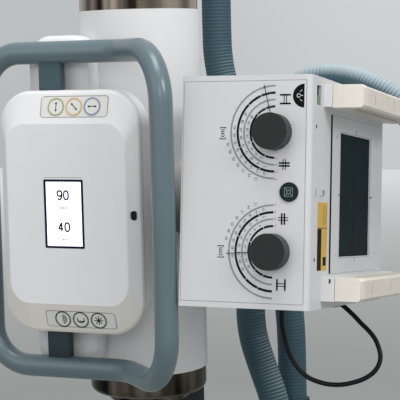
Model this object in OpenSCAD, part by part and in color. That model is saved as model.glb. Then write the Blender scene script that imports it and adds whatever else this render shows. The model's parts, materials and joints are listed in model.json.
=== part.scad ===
/* [Rear mount] */
// Distance from the rear mounting face to the tube axis
focus_back = 190; // [180:1:240]
// Diameter of the mounting flange
flange_d = 120; // [110:1:130]
// Thickness of the mounting flange
flange_t = 12; // [10:1:16]
// Bolt circle of the mounting flange
flange_pcd = 96; // [84:1:98]
// Bolt hole diameter
flange_hole_d = 9; // [7:0.5:11]
// Number of bolt holes
flange_holes = 6; // [4:1:8]
// Diameter of the trunnion pin
pin_d = 44; // [36:1:50]
// Length of the trunnion pin in front of the flange
pin_l = 46; // [36:1:50]
// Diameter of the arm hub
hub_d = 104; // [90:1:110]

/* [Tube unit] */
// Diameter of the white shroud
shroud_d = 157; // [145:1:170]
// Wall of the shroud
shroud_wall = 3.5; // [2.5:0.5:5]
// Top edge of the shroud above the beam axis
shroud_top = 238; // [220:1:260]
// Bottom edge of the shroud below the beam axis
shroud_bottom = 226; // [210:1:250]
// Polished end band that shows beyond the shroud
cap_h = 32; // [24:1:44]
// Rounding of the polished end
cap_r = 10; // [6:1:14]
// Diameter of the stepped boss on each end
cap_boss_d = 104; // [80:1:116]
// Height of the stepped boss
cap_boss_h = 10; // [6:1:16]

/* [Port and swivel] */
// Diameter of the port neck
neck_d = 124; // [110:1:130]
// Diameter of the swivel spigot
spigot_d = 100; // [84:1:104]
// Bore for the beam
beam_bore_d = 64; // [50:1:70]
// Side of the square port plate
plate_side = 186; // [176:1:196]
// Thickness of the square port plate
plate_t = 8; // [6:1:10]
// Distance from the tube axis to the port plate
plate_x = 108; // [104:1:112]
// Diameter of the swivel ring
ring_d = 164; // [150:1:176]
// Turn of the collimator about the beam at rest
swivel_rest = -6.87; // [-10:0.01:10]

/* [Collimator] */
// Distance from the tube axis to the near wall
col_x = 130; // [128:1:134]
// Width of the housing along the beam
col_w = 156; // [150:1:166]
// Height of the housing
col_h = 265; // [255:1:280]
// Depth from the beam axis to the front
col_front = 189; // [184:1:200]
// Depth from the beam axis to the back
col_back = 130; // [124:1:140]
// Wall of the housing
col_wall = 3; // [2.5:0.5:4]
// Edge rounding between front and exit face
col_edge_r = 6; // [3:0.5:6]
// Depth from the beam axis to the inner partition
partition_y = 108; // [106:1:112]
// Thickness of the front panel
panel_t = 1.5; // [1:0.5:2.5]
// Front panel in front of the housing face
panel_proud = 0.2; // [0.1:0.1:0.6]
// Shadow seam round the front panel
panel_seam = 0.5; // [0.3:0.1:1]
// Margin between front panel and housing edge, top and bottom
panel_margin = 6.8; // [5:0.1:8]
// Margin between front panel and housing edge, exit side
panel_right = 6.6; // [6.6:0.1:9]

/* [Dials] */
// Distance of the knob axes from the near wall
dial_x = 113; // [108:1:116]
// Knob axes below the top and above the bottom of the housing
dial_drop = 65; // [62:0.5:68]
// Knob diameter
knob_d = 41.5; // [36:0.5:44]
// Knob depth
knob_l = 19; // [14:0.5:24]
// Number of grip flutes round the knob
knob_flutes = 36; // [24:1:40]
// Knob shaft diameter
shaft_d = 8; // [6:0.5:10]
// Length of the clear pointer from the knob axis
cursor_l = 56; // [46:1:58]
// Width of the clear pointer at its tip
cursor_w = 5; // [4:0.5:8]
// Diameter of the clear disc behind a knob
cursor_d = 50; // [46:1:54]
// Thickness of the clear pointer
cursor_t = 1.2; // [0.8:0.1:2]
// Upper pointer, degrees left of straight up
upper_rest = 14; // [0:1:170]
// Lower pointer, degrees left of straight up
lower_rest = 93; // [0:1:170]
// Light button diameter
light_d = 21.6; // [18:0.1:24]
// Light button distance from the near wall
light_x = 131; // [129:0.5:134]

/* [Exit face] */
// Window height
glass_h = 148; // [140:1:152]
// Window depth across the face
glass_w = 140; // [130:1:146]
// Frame height
frame_h = 186; // [180:1:190]
// Frame depth across the face
frame_w = 212; // [206:1:216]
// Frame thickness
frame_t = 2; // [1.5:0.1:3]
// Window thickness
glass_t = 2; // [1.5:0.1:3]
// Accessory rail height
rail_h = 25.5; // [22:0.5:28]
// Front end of the rails in front of the beam axis
rail_front = 140; // [130:1:150]
// Upper rail below the top of the housing
rail_up_drop = 8; // [6:0.5:12]
// Lower rail above the bottom of the housing
rail_low_drop = 10; // [6:0.5:12]
// Closed front end of the groove in a rail
rail_end = 12; // [8:1:20]
// Width of the upper rail base
rail_up_base = 10; // [8:1:14]
// Width of the lower rail base
rail_low_base = 16; // [12:1:20]
// Reach of both rails from the exit face
rail_reach = 46; // [40:1:52]
// Width of the groove in a rail
groove_w = 9; // [6:0.5:12]
// Depth of the groove in a rail
groove_d = 8; // [5:0.5:12]
// Chamfer along the outer edges of a rail
rail_chamfer = 2.5; // [1:0.5:4]

/* [Shutters] */
// Distance from the tube axis to the blade carrier
carrier_x = 246; // [240:1:250]
// Thickness of the blade carrier
carrier_t = 4; // [3:0.5:5]
// Opening of the blade carrier
carrier_open = 118; // [100:1:124]
// Blade thickness
blade_t = 3; // [2:0.5:4]
// Blade width across its travel
blade_w = 116; // [100:1:120]
// Blade length along its travel, upper pair
blade_up_l = 66; // [56:1:70]
// Blade length along its travel, side pair
blade_side_l = 52; // [48:1:54]
// Travel of each blade
blade_travel = 48; // [40:1:50]

/* [Console] */
// Console width
con_w = 188; // [176:1:200]
// Console height
con_h = 300; // [284:1:316]
// Console centre from the tube axis
con_x = -36; // [-44:1:-30]
// Console centre below the beam axis
con_z = -10; // [-16:1:-6]
// Console face in front of the tube axis
con_y = 154.5; // [150:0.5:160]
// Corner radius of the console
con_r = 42; // [34:1:50]
// Depth of the front shell
con_front_d = 19; // [17:0.5:22]
// Depth of the rear shell
con_rear_d = 13; // [10:0.5:16]
// Width of the raised face
face_w = 164; // [150:1:170]
// Height of the raised face
face_h = 227; // [210:1:232]
// Raised face centre below the console centre
face_dz = 1.5; // [0:0.5:6]
// Corner radius of the raised face
face_r = 27; // [20:1:34]
// Display width
disp_w = 53.5; // [46:0.5:60]
// Display height
disp_h = 84.3; // [76:0.1:92]
// Display centre beside the console centre
disp_x = -3; // [-10:0.5:6]
// Display centre above the console centre
disp_z = -0.6; // [-8:0.1:6]
// Key pitch
key_pitch = 24.4; // [22:0.1:28]
// Middle key beside the console centre
key_x = 12.6; // [6:0.1:18]
// Upper key diameter
key_up_d = 19.5; // [15:0.5:21]
// Lower key diameter
key_low_d = 18; // [13:0.5:19]
// Upper key plate width
plate_up_w = 91; // [78:1:94]
// Upper key plate height
plate_up_h = 27; // [22:0.5:28]
// Lower key plate width
plate_low_w = 95; // [80:1:98]
// Lower key plate height
plate_low_h = 22; // [18:0.5:24]

/* [Handle] */
// Handle tube diameter
tube_d = 28; // [24:0.5:30]
// Handle left bar from the tube axis
loop_left = 164; // [156:1:174]
// Handle right bar from the tube axis
loop_right = 112; // [110:0.5:113]
// Handle top bar above the beam axis
loop_top = 186.6; // [180:0.1:196]
// Handle bottom bar below the beam axis
loop_bottom = 209.5; // [200:0.5:220]
// Top and bottom bars in front of the tube axis
loop_y = 116.6; // [112:0.1:120]
// Corner radius of the loop
loop_r = 50; // [40:1:56]
// Forward step of the right bar
jog = 82; // [70:1:90]
// Run of the step along the beam
jog_run = 89; // [84:1:96]
// Bend radius at the start of the step
jog_r = 50; // [40:1:56]
// Corner radius between the step and the right bar
corner_r = 62; // [54:1:66]
// Strap width
strap_w = 29.5; // [24:0.5:34]
// Strap thickness
strap_t = 12; // [8:1:14]
// Strap centre from the tube axis
strap_x = -69; // [-80:1:-66]

/* [Supply hoses] */
// Hose diameter
hose_d = 42; // [36:1:44]
// Well diameter
well_d = 52; // [48:1:56]
// Well length
well_l = 120; // [100:1:140]
// Lead diameter
lead_d = 6; // [5:0.5:7]

/* [Hidden] */

$fn = 64;
fit = 0.05;
gap = 0.3;
eps = 1;
tank_d = shroud_d - 2 * shroud_wall - 2 * gap;
spigot_l = plate_t + 12;
ring_x = plate_x + plate_t + gap;
exit_x = col_x + col_w;
dial_z = col_h / 2 - dial_drop;
panel_left = 2;
panel_mid = col_x + (col_w + panel_left - panel_right) / 2;
panel_corner = 1.5;
rail_up_z = col_h / 2 - rail_up_drop - rail_h;
rail_low_z = col_h / 2 - rail_low_drop - rail_h;
groove_up_x = (rail_up_base + rail_reach - groove_w) / 2;
groove_low_x = (rail_low_base + rail_reach - groove_w) / 2;
rail_base_front = -rail_front - 2;
seal_w = 4.5;
seal_t = 1.5;
seal_sink = 0.5;
screw_front_y = -85;
screw_back_y = 97;
screw_z = 69;
screw_head_d = 5;
screw_head_h = 1.4;
screw_d = 3;
cap_d = shroud_d - 4;
dial_axis_x = col_x + dial_x;
panel_y = -col_front - panel_proud;
panel_w = col_w - panel_left - panel_right;
panel_h = col_h - 2 * panel_margin;
key_t = 2.4;
key_proud = 0.9;
key_pocket = 3.2;
plate_thick = 1.1;
plate_sink = 0.6;
bevel_in = 4;
face_edge = 2.5;
bevel_back = 10.5;
tape_y = -162;
tape_z = col_h / 2 - 21.5;
tape_w = 15;
tape_h = 21;
switch_y = -143;
switch_w = 22;
switch_h = 7;
switch_depth = 2.2;
well_y = shroud_d / 2 + well_d / 2 + gap;
well_x = 10;
well_top = shroud_top + 14;
well_low = -shroud_bottom - 14;
plug_l = 44;
bend_d = 46;
collar_d = well_d - 2;
collar_l = 14;
upper_exit = [28, 211];
lower_exit = [114, 264];
lower_leg = 56;
hose_end_l = 46;
pocket_d = frame_t + 0.5;
mirror_side = 108;
mirror_x = 186;
mirror_t = 2;
lamp_x = mirror_x;
bracket_w = 84;
bracket_reach = 40;
bracket_t = 3;
con_back = -con_y + con_front_d + con_rear_d - 0.3;
spine_w = 90;
spine_h = loop_top + loop_bottom + tube_d;
spine_r = 30;
spine_y = -loop_y + tube_d / 2 + 1;
pad_w = con_w - 8;
pad_h = con_h - 10;
pad_r = con_r + 3;
gland_x = 240;
gland_y = 62;
gland_w = 14;
gland_h = 9;
cap_gland_d = 14;

// Hose and lead routes: the hoses from the tube axis, the lead inside the collimator's turn
hose_upper_path = [
    [28, 211, 282], [28, 211, 250], [28, 211, 214], [29, 211, 180], [35, 211, 144],
    [47, 211, 108], [63, 211, 74], [77, 211, 40], [86, 211, 4], [89, 211, -34],
    [87, 211, -74], [81, 211, -114], [74, 211, -152], [70, 211, -190], [74, 211, -228],
    [86, 210, -266], [100, 207, -302], [108, 205, -330]];
hose_lower_path = [
    [114, 264, -326], [114, 264, -292], [114, 264, -256], [113, 264, -218], [110, 264, -180],
    [105, 264, -142], [99, 264, -104], [93, 264, -66], [88, 264, -28], [86, 264, 10],
    [88, 264, 48], [97, 264, 84], [114, 264, 114], [140, 264, 135], [172, 264, 143],
    [206, 264, 140], [240, 264, 128], [272, 264, 110], [300, 264, 84], [322, 264, 52],
    [334, 264, 14], [338, 264, -26]];

// Lead route, with heights from the underside of the collimator
lead_path = [
    [247, 62, -5], [250, 62, -5], [254, 62, -6], [261, 61, -11], [271, 59, -19], [281, 57, -28],
    [291, 54, -36], [300, 51, -45], [306, 48, -55], [310, 45, -67], [309, 41, -78],
    [303, 37, -88], [292, 33, -96], [279, 29, -101], [265, 25, -104], [250, 21, -104],
    [237, 17, -101], [225, 14, -96], [214, 12, -87], [205, 11, -75], [198, 10, -60],
    [193, 10, -43], [190, 10, -28], [190, 10, -14]];

function unit(v) = v / norm(v);
function spline(p0, p1, p2, p3, t) = 0.5 * (2 * p1 + (p2 - p0) * t
    + (2 * p0 - 5 * p1 + 4 * p2 - p3) * t * t
    + (3 * p1 - p0 - 3 * p2 + p3) * t * t * t);
function smooth(p, n) = let (m = len(p) - 1) concat(
    [for (i = [0:m - 1], k = [0:n - 1])
        spline(p[max(i - 1, 0)], p[i], p[i + 1], p[min(i + 2, m)], k / n)], [p[m]]);
function tangent(p, i) = unit(p[min(i + 1, len(p) - 1)] - p[max(i - 1, 0)]);
function ring(c, t, side, r, n) = let (u = unit(cross(t, side)), v = cross(t, u))
    [for (k = [0:n - 1]) c + r * (cos(360 * k / n) * u + sin(360 * k / n) * v)];

hose_upper_line = smooth(hose_upper_path, 3);
hose_lower_line = smooth(hose_lower_path, 2);
lead_line = smooth(lead_path, 2);

module sweep(path, d, side, n = 12) {
    m = len(path);
    pts = [for (i = [0:m - 1]) each ring(path[i], tangent(path, i), side, d / 2, n)];
    walls = [for (i = [0:m - 2], k = [0:n - 1])
        [i * n + k, i * n + (k + 1) % n, (i + 1) * n + (k + 1) % n, (i + 1) * n + k]];
    head_end = [for (k = [0:n - 1]) n - 1 - k];
    tail_end = [for (k = [0:n - 1]) (m - 1) * n + k];
    polyhedron(pts, concat([head_end], walls, [tail_end]), convexity = 10);
}

module rrect(w, h, r) {
    square([w - 2 * r, h], center = true);
    square([w, h - 2 * r], center = true);
    for (x = [-1, 1], z = [-1, 1])
        translate([x * (w / 2 - r), z * (h / 2 - r)])
            circle(r);
}

// A slab in the XZ plane from depth y0, thickness t going back
module slab(w, h, r, y0, t) {
    translate([0, y0 + t, 0])
        rotate([90, 0, 0])
            linear_extrude(t)
                rrect(w, h, r);
}

module along_y(d, y0, l) {
    translate([0, y0 + l, 0])
        rotate([90, 0, 0])
            cylinder(d = d, h = l);
}

module along_x(d, x0, l) {
    translate([x0, 0, 0])
        rotate([0, 90, 0])
            cylinder(d = d, h = l);
}

module block(x, y, z) {
    translate([x[0], y[0], z[0]])
        cube([x[1] - x[0], y[1] - y[0], z[1] - z[0]]);
}

module at_focus() {
    translate([0, -focus_back, 0])
        children();
}

module at_collimator() {
    at_focus()
        rotate([swivel_rest, 0, 0])
            children();
}

module at_console() {
    at_focus()
        translate([con_x, -con_y, con_z])
            children();
}

// A turn of n steps about c, from angle a0 to a1, in the plane of u and v
function turn(c, u, v, r, a0, a1, n) =
    [for (k = [0:n]) let (a = a0 + (a1 - a0) * k / n) c + r * (cos(a) * u + sin(a) * v)];

module sweep_loop(path, d, side, n = 28) {
    m = len(path);
    pts = [for (i = [0:m - 1])
        each ring(path[i], unit(path[(i + 1) % m] - path[(i + m - 1) % m]), side, d / 2, n)];
    walls = [for (i = [0:m - 1], k = [0:n - 1]) let (j = (i + 1) % m)
        [i * n + k, i * n + (k + 1) % n, j * n + (k + 1) % n, j * n + k]];
    polyhedron(pts, walls, convexity = 10);
}

module mount_flange() {
    color("silver")
        difference() {
            union() {
                along_y(flange_d, -flange_t, flange_t);
                along_y(pin_d, -flange_t - pin_l, pin_l + eps);
            }
            for (i = [0:flange_holes - 1])
                rotate([0, 360 * (i + 0.5) / flange_holes, 0])
                    translate([flange_pcd / 2, 0, 0])
                        along_y(flange_hole_d, -flange_t - eps, flange_t + 2 * eps);
            along_y(pin_d / 2, -flange_t - pin_l - eps, pin_l + flange_t + 2 * eps);
        }
}

module arm() {
    hub_back = -flange_t - gap;
    hub_l = pin_l - 2;
    color("gainsboro")
        difference() {
            union() {
                along_y(hub_d, hub_back - hub_l, hub_l);
                along_y(hub_d, -focus_back + shroud_d / 4, focus_back - shroud_d / 4 + hub_back - hub_l + eps);
            }
            along_y(pin_d + 2 * fit, -flange_t - pin_l - gap, pin_l + eps);
            at_focus() {
                translate([0, 0, -hub_d])
                    cylinder(d = shroud_d + 2 * gap, h = 2 * hub_d);
                along_x(neck_d + 2 * gap, 0, hub_d);
            }
        }
}

module shroud() {
    color("whitesmoke")
        at_focus()
            difference() {
                translate([0, 0, -shroud_bottom])
                    cylinder(d = shroud_d, h = shroud_bottom + shroud_top);
                translate([0, 0, -shroud_bottom - eps])
                    cylinder(d = shroud_d - 2 * shroud_wall, h = shroud_bottom + shroud_top + 2 * eps);
                along_x(neck_d + 2 * gap, 0, shroud_d);
            }
}

module tube_tank() {
    color("silver")
        at_focus()
            difference() {
                translate([0, 0, -shroud_bottom])
                    cylinder(d = tank_d, h = shroud_bottom + shroud_top);
                along_x(beam_bore_d, tank_d / 4, tank_d);
            }
}

module end_cap() {
    rotate_extrude()
        union() {
            square([cap_d / 2 - cap_r, cap_h]);
            square([cap_d / 2, cap_h - cap_r]);
            translate([cap_d / 2 - cap_r, cap_h - cap_r])
                intersection() {
                    circle(cap_r);
                    square(2 * cap_r);
                }
            square([cap_boss_d / 2, cap_h + cap_boss_h]);
        }
}

module cap_top() {
    color("silver")
        at_focus()
            translate([0, 0, shroud_top])
                end_cap();
}

module cap_bottom() {
    color("silver")
        at_focus()
            translate([0, 0, -shroud_bottom])
                mirror([0, 0, 1])
                    end_cap();
}

module port_neck() {
    color("gainsboro")
        at_focus()
            difference() {
                union() {
                    along_x(neck_d, tank_d / 4, plate_x - tank_d / 4);
                    along_x(spigot_d, plate_x - eps, spigot_l + eps);
                }
                cylinder(d = tank_d + 2 * gap, h = 2 * neck_d, center = true);
                along_x(beam_bore_d, 0, plate_x + spigot_l + eps);
            }
}

module port_plate() {
    color("gainsboro")
        at_focus()
            difference() {
                translate([plate_x + gap, 0, 0])
                    rotate([90, 0, 90])
                        linear_extrude(plate_t - gap)
                            rrect(plate_side, plate_side, 8);
                along_x(spigot_d + 2 * gap, plate_x - eps, plate_t + 2 * eps);
            }
}

module console_carrier() {
    pad_y = con_back + gap;
    color("gainsboro")
        at_focus()
            difference() {
                union() {
                    translate([strap_x, 0, (loop_top - loop_bottom) / 2 + 7])
                        hull() {
                            slab(spine_w - 26, spine_h - 26, spine_r - 13, spine_y, 1);
                            slab(spine_w - 8, spine_h - 8, spine_r - 4, spine_y + 5, 1);
                            slab(spine_w, spine_h, spine_r, spine_y + 14, 42);
                        }
                    translate([con_x, 0, con_z + 5])
                        slab(pad_w, pad_h, pad_r, pad_y, spine_y + eps - pad_y);
                }
                cylinder(d = shroud_d + 2 * gap, h = 2 * spine_h, center = true);
                block([strap_x - strap_w / 2 - gap, strap_x + strap_w / 2 + gap],
                    [pad_y - eps, -loop_y + strap_t / 2 + gap], [-spine_h, spine_h]);
            }
}

module handle_loop() {
    ex = [1, 0, 0];
    ey = [0, 1, 0];
    ez = [0, 0, 1];
    a = atan2(jog, jog_run);
    d = [cos(a), -sin(a), 0];
    step_x = loop_right - jog_run - jog_r * tan(a / 2);
    upper = [loop_right, -loop_y - jog, loop_top];
    lower = [loop_right, -loop_y - jog, -loop_bottom];
    path = concat(
        turn([loop_r - loop_left, -loop_y, loop_top - loop_r], ex, ez, loop_r, 180, 90, 8),
        turn([step_x, -loop_y - jog_r, loop_top], ex, ey, jog_r, 90, 90 - a, 5),
        turn(upper - corner_r * (d + ez), d, ez, corner_r, 90, 0, 8),
        turn(lower - corner_r * (d - ez), d, ez, corner_r, 0, -90, 8),
        turn([step_x, -loop_y - jog_r, -loop_bottom], ex, ey, jog_r, 90 - a, 90, 5),
        turn([loop_r - loop_left, -loop_y, loop_r - loop_bottom], ex, ez, loop_r, -90, -180, 8));
    color("slategray")
        at_focus()
            sweep_loop(path, tube_d, ey);
}

module handle_strap() {
    color("slategray")
        at_focus()
            difference() {
                translate([strap_x - strap_w / 2, -loop_y - strap_t / 2, -loop_bottom])
                    cube([strap_w, strap_t, loop_top + loop_bottom]);
                for (z = [loop_top, -loop_bottom])
                    translate([0, -loop_y, z])
                        along_x(tube_d + 2 * fit, -loop_left, loop_left);
            }
}

// Depth of the sloped rim at a height off the raised face, and its tilt
face_top = face_h / 2 - face_dz;
face_low = face_h / 2 + face_dz;
rim_top = con_h / 2 - bevel_in;
tilt_top = atan((bevel_back - face_edge) / (rim_top - face_top));
tilt_low = atan((bevel_back - face_edge) / (rim_top - face_low));
key_up_z = (face_top + rim_top) / 2 + 1;
key_low_z = (face_low + rim_top) / 2 + 1;

module at_top_rim() {
    at_console()
        translate([key_x, face_edge + (key_up_z - face_top) * tan(tilt_top), key_up_z])
            rotate([-tilt_top, 0, 0])
                children();
}

module at_low_rim() {
    at_console()
        translate([key_x, face_edge + (key_low_z - face_low) * tan(tilt_low), -key_low_z])
            rotate([tilt_low, 0, 0])
                children();
}

module console_front() {
    color("whitesmoke")
        difference() {
            at_console()
                hull() {
                    translate([0, 0, -face_dz]) {
                        slab(face_w - 5, face_h - 5, face_r - 2.5, 0, 0.1);
                        slab(face_w - 1.4, face_h - 1.4, face_r - 0.7, 0.8, 0.1);
                        slab(face_w, face_h, face_r, face_edge, 0.1);
                    }
                    slab(con_w - 2 * bevel_in, con_h - 2 * bevel_in, con_r - bevel_in, bevel_back, 0.1);
                    slab(con_w - 1.6, con_h - 1.6, con_r - 0.8, bevel_back + 2.2, 0.1);
                    slab(con_w, con_h, con_r, bevel_back + 5, con_front_d - bevel_back - 5);
                }
            at_console()
                translate([disp_x, 0, disp_z])
                    slab(disp_w + 2 * gap, disp_h + 2 * gap, 1.5, -eps, eps + 3.5);
            at_console()
                translate([con_w / 2 - 7, 0, -2])
                    slab(6 + 2 * gap, 11 + 2 * gap, 2.9, -eps, con_front_d - 4 + eps);
            at_top_rim() {
                slab(plate_up_w + 2 * gap, plate_up_h + 2 * gap, 5, -8, 8 + plate_sink);
                for (k = [-1:1])
                    translate([k * key_pitch, 0, 0])
                        slab(key_up_d + 2 * gap, key_up_d + 2 * gap, key_up_d / 2, -8, 8 + key_pocket);
            }
            at_low_rim() {
                slab(plate_low_w + 2 * gap, plate_low_h + 2 * gap, 5, -8, 8 + plate_sink);
                for (k = [-1:1])
                    translate([k * key_pitch, 0, 0])
                        slab(key_low_d + 2 * gap, key_low_d + 2 * gap, key_low_d / 2, -8, 8 + key_pocket);
            }
        }
}

module console_rear() {
    color("gainsboro")
        at_console()
            hull() {
                slab(con_w - 4, con_h - 4, con_r - 2, con_front_d + gap, con_rear_d - 6);
                slab(con_w - 16, con_h - 16, con_r - 8, con_front_d + con_rear_d - 0.5, 0.2);
            }
}

module display() {
    color("white")
        at_console()
            translate([disp_x, 0, disp_z])
                slab(disp_w, disp_h, 1.2, 0.6, 3.5 - 0.6 - gap);
}

module key_plate(w, h, d) {
    difference() {
        slab(w, h, 4.7, plate_sink - plate_thick - gap, plate_thick);
        for (k = [-1:1])
            translate([k * key_pitch, 0, 0])
                along_y(d + 2 * gap, -8, 16);
    }
}

module key_plate_top() {
    color("gainsboro")
        at_top_rim()
            key_plate(plate_up_w, plate_up_h, key_up_d);
}

module key_plate_bottom() {
    color("gainsboro")
        at_low_rim()
            key_plate(plate_low_w, plate_low_h, key_low_d);
}

module key_cap(d, k) {
    translate([k * key_pitch, 0, 0])
        along_y(d, -key_proud - gap, key_t);
}

module key_top_1() {
    color("yellowgreen") at_top_rim() key_cap(key_up_d, -1);
}

module key_top_2() {
    color("orange") at_top_rim() key_cap(key_up_d, 0);
}

module key_top_3() {
    color("steelblue") at_top_rim() key_cap(key_up_d, 1);
}

module key_low_1() {
    color("lightgray") at_low_rim() key_cap(key_low_d, -1);
}

module key_low_2() {
    color("lightgray") at_low_rim() key_cap(key_low_d, 0);
}

module key_low_3() {
    color("lightgray") at_low_rim() key_cap(key_low_d, 1);
}

module console_port() {
    color("black")
        at_console()
            translate([con_w / 2 - 7, 0, -2])
                slab(6, 11, 2.6, bevel_back - 3.5, con_front_d - 4 - gap - bevel_back + 3.5);
}

module hv_well() {
    difference() {
        union() {
            translate([well_x, well_y, 0])
                cylinder(d = well_d, h = well_l);
            translate([well_x - well_d / 2, shroud_d / 4, 12])
                cube([well_d, well_y - shroud_d / 4, well_l - 24]);
        }
        translate([0, 0, -well_l])
            cylinder(d = shroud_d + 2 * gap, h = 3 * well_l);
    }
}

module hv_well_upper() {
    color("lightgray")
        at_focus()
            translate([0, 0, well_top - well_l])
                hv_well();
}

module hv_well_lower() {
    color("lightgray")
        at_focus()
            translate([0, 0, well_low])
                hv_well();
}

// A plug, its leg and a rigid return bend that ends in a collar at exit
module hv_plug(exit, leg) {
    start = [well_x, well_y];
    half = (exit - start) / 2;
    top = plug_l + leg;
    translate([well_x, well_y, 0]) {
        cylinder(d = well_d + 3, h = 10);
        cylinder(d = collar_d, h = top + eps);
        translate([half[0], half[1], top])
            rotate([0, 0, atan2(half[1], half[0])])
                rotate([90, 0, 0])
                    rotate_extrude(angle = 180)
                        translate([norm(half), 0])
                            circle(d = bend_d);
        translate([2 * half[0], 2 * half[1], top - collar_l])
            cylinder(d = collar_d, h = collar_l + eps);
    }
}

module hv_plug_upper() {
    color("dimgray")
        at_focus()
            translate([0, 0, well_top])
                hv_plug(upper_exit, 0);
}

module hv_plug_lower() {
    color("dimgray")
        at_focus()
            translate([0, 0, well_low])
                mirror([0, 0, 1])
                    hv_plug(lower_exit, lower_leg);
}

module hose_upper() {
    color("slategray")
        at_focus()
            sweep(hose_upper_line, hose_d, [1, 0, 0]);
}

module hose_lower() {
    color("slategray")
        at_focus()
            sweep(hose_lower_line, hose_d, [0, 1, 0.3]);
}

module hose_end() {
    cylinder(d = hose_d + 6, h = hose_end_l - 14);
    cylinder(d = hose_d - 8, h = hose_end_l);
}

module end_of(path) {
    last = path[len(path) - 1];
    dir = unit(last - path[len(path) - 2]);
    translate(last)
        rotate([0, acos(dir[2]), atan2(dir[1], dir[0])])
            children();
}

module hose_end_upper() {
    color("silver")
        at_focus()
            end_of(hose_upper_line)
                hose_end();
}

module hose_end_lower() {
    color("silver")
        at_focus()
            end_of(hose_lower_line)
                hose_end();
}

module swivel_ring() {
    color("gainsboro")
        at_collimator()
            difference() {
                along_x(ring_d, ring_x, col_x - ring_x);
                along_x(spigot_d + 2 * fit, ring_x - eps, col_x - ring_x + 2 * eps);
            }
}

// Outline of the housing seen along Z, with the rounded front exit edge
module housing_outline() {
    r = col_edge_r;
    translate([col_x, -col_front])
        square([col_w - r, col_front + col_back]);
    translate([col_x, -col_front + r])
        square([col_w, col_front + col_back - r]);
    translate([exit_x - r, -col_front + r])
        circle(r);
}

module collimator_housing() {
    inner = [col_x + col_wall, exit_x - col_wall - pocket_d];
    color("whitesmoke")
        at_collimator()
            difference() {
                translate([0, 0, -col_h / 2])
                    linear_extrude(col_h)
                        housing_outline();
                translate([panel_mid, 0, 0])
                    slab(panel_w + 2 * panel_seam, panel_h + 2 * panel_seam, panel_corner + panel_seam,
                        -col_front - eps, eps + panel_t - panel_proud + gap);
                block(inner, [-partition_y, col_back - col_wall],
                    [-col_h / 2 + col_wall, col_h / 2 - col_wall]);
                block([inner[0], exit_x - col_wall], [-col_front + col_wall, -partition_y - col_wall],
                    [-col_h / 2 + col_wall, col_h / 2 - col_wall]);
                block([exit_x - pocket_d, exit_x + eps], [-frame_w / 2 - gap, frame_w / 2 + gap],
                    [-frame_h / 2 - gap, frame_h / 2 + gap]);
                block([exit_x - seal_sink - seal_t - gap, exit_x + eps], [-frame_w / 2 - seal_w, 0],
                    [-frame_h / 2 - gap, frame_h / 2 + gap]);
                block([inner[0], exit_x], [-glass_w / 2 - 6, glass_w / 2 + 6],
                    [-glass_h / 2 - 6, glass_h / 2 + 6]);
                along_x(beam_bore_d, col_x - eps, col_wall + 2 * eps);
                translate([lamp_x, 0, 0])
                    along_y(32, -partition_y - col_wall - eps, col_wall + 2 * eps);
                for (z = [-dial_z, dial_z])
                    translate([dial_axis_x, 0, z])
                        along_y(shaft_d + 2 * fit, -col_front - eps, col_wall + 2 * eps);
                translate([col_x + light_x, 0, 0])
                    along_y(light_d + 2 * gap, -col_front - eps, col_wall + 2 * eps);
                block([exit_x - col_wall - eps, exit_x + eps], [tape_y - tape_w / 2, tape_y + tape_w / 2],
                    [tape_z - tape_h / 2, tape_z + tape_h / 2]);
                block([exit_x - switch_depth, exit_x + eps], [switch_y - switch_w / 2, switch_y + switch_w / 2],
                    [-switch_h / 2, switch_h / 2]);
            }
}

module front_panel() {
    color("whitesmoke")
        at_collimator()
            difference() {
                translate([panel_mid, 0, 0])
                    slab(panel_w, panel_h, panel_corner, panel_y, panel_t);
                for (z = [-dial_z, dial_z])
                    translate([dial_axis_x, 0, z])
                        along_y(shaft_d + 2 * gap, panel_y - eps, panel_t + 2 * eps);
                translate([col_x + light_x, 0, 0])
                    along_y(light_d + 2 * gap, panel_y - eps, panel_t + 2 * eps);
            }
}

module window_frame() {
    x0 = exit_x - frame_t;
    color("whitesmoke")
        at_collimator()
            difference() {
                block([x0, exit_x], [-frame_w / 2, frame_w / 2], [-frame_h / 2, frame_h / 2]);
                block([x0 - eps, exit_x + eps], [-glass_w / 2, glass_w / 2], [-glass_h / 2, glass_h / 2]);
                for (y = [screw_front_y, screw_back_y], z = [-screw_z, screw_z])
                    translate([0, y, z])
                        along_x(screw_d + 2 * gap, x0 - eps, frame_t + 2 * eps);
            }
}

module frame_seal() {
    color("black")
        at_collimator()
            block([exit_x - seal_sink - seal_t, exit_x - seal_sink],
                [-frame_w / 2 - seal_w + gap, -frame_w / 2 - gap], [-frame_h / 2, frame_h / 2]);
}

module window() {
    x1 = exit_x - frame_t - gap;
    color([0.1, 0.14, 0.15])
        at_collimator()
            block([x1 - glass_t, x1], [-glass_w / 2 - 5, glass_w / 2 + 5], [-glass_h / 2 - 5, glass_h / 2 + 5]);
}

module rail(base, groove_x, up) {
    z0 = up ? rail_up_z : -rail_low_z - rail_h;
    x0 = exit_x + base;
    x1 = exit_x + rail_reach;
    c = rail_chamfer;
    difference() {
        translate([0, col_back, z0])
            rotate([90, 0, 0])
                linear_extrude(rail_front + col_back)
                    polygon([[x0, 0], [x1 - c, 0], [x1, c], [x1, rail_h - c], [x1 - c, rail_h], [x0, rail_h]]);
        block([exit_x + groove_x, exit_x + groove_x + groove_w], [-rail_front + rail_end, col_back + eps],
            up ? [z0 - eps, z0 + groove_d] : [z0 + rail_h - groove_d, z0 + rail_h + eps]);
    }
}

module rail_base_upper() {
    color("white")
        at_collimator()
            block([exit_x, exit_x + rail_up_base - gap], [rail_base_front, col_back],
                [rail_up_z + 0.5, rail_up_z + rail_h + 1]);
}

module rail_upper() {
    color("antiquewhite")
        at_collimator()
            rail(rail_up_base, groove_up_x, true);
}

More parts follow.
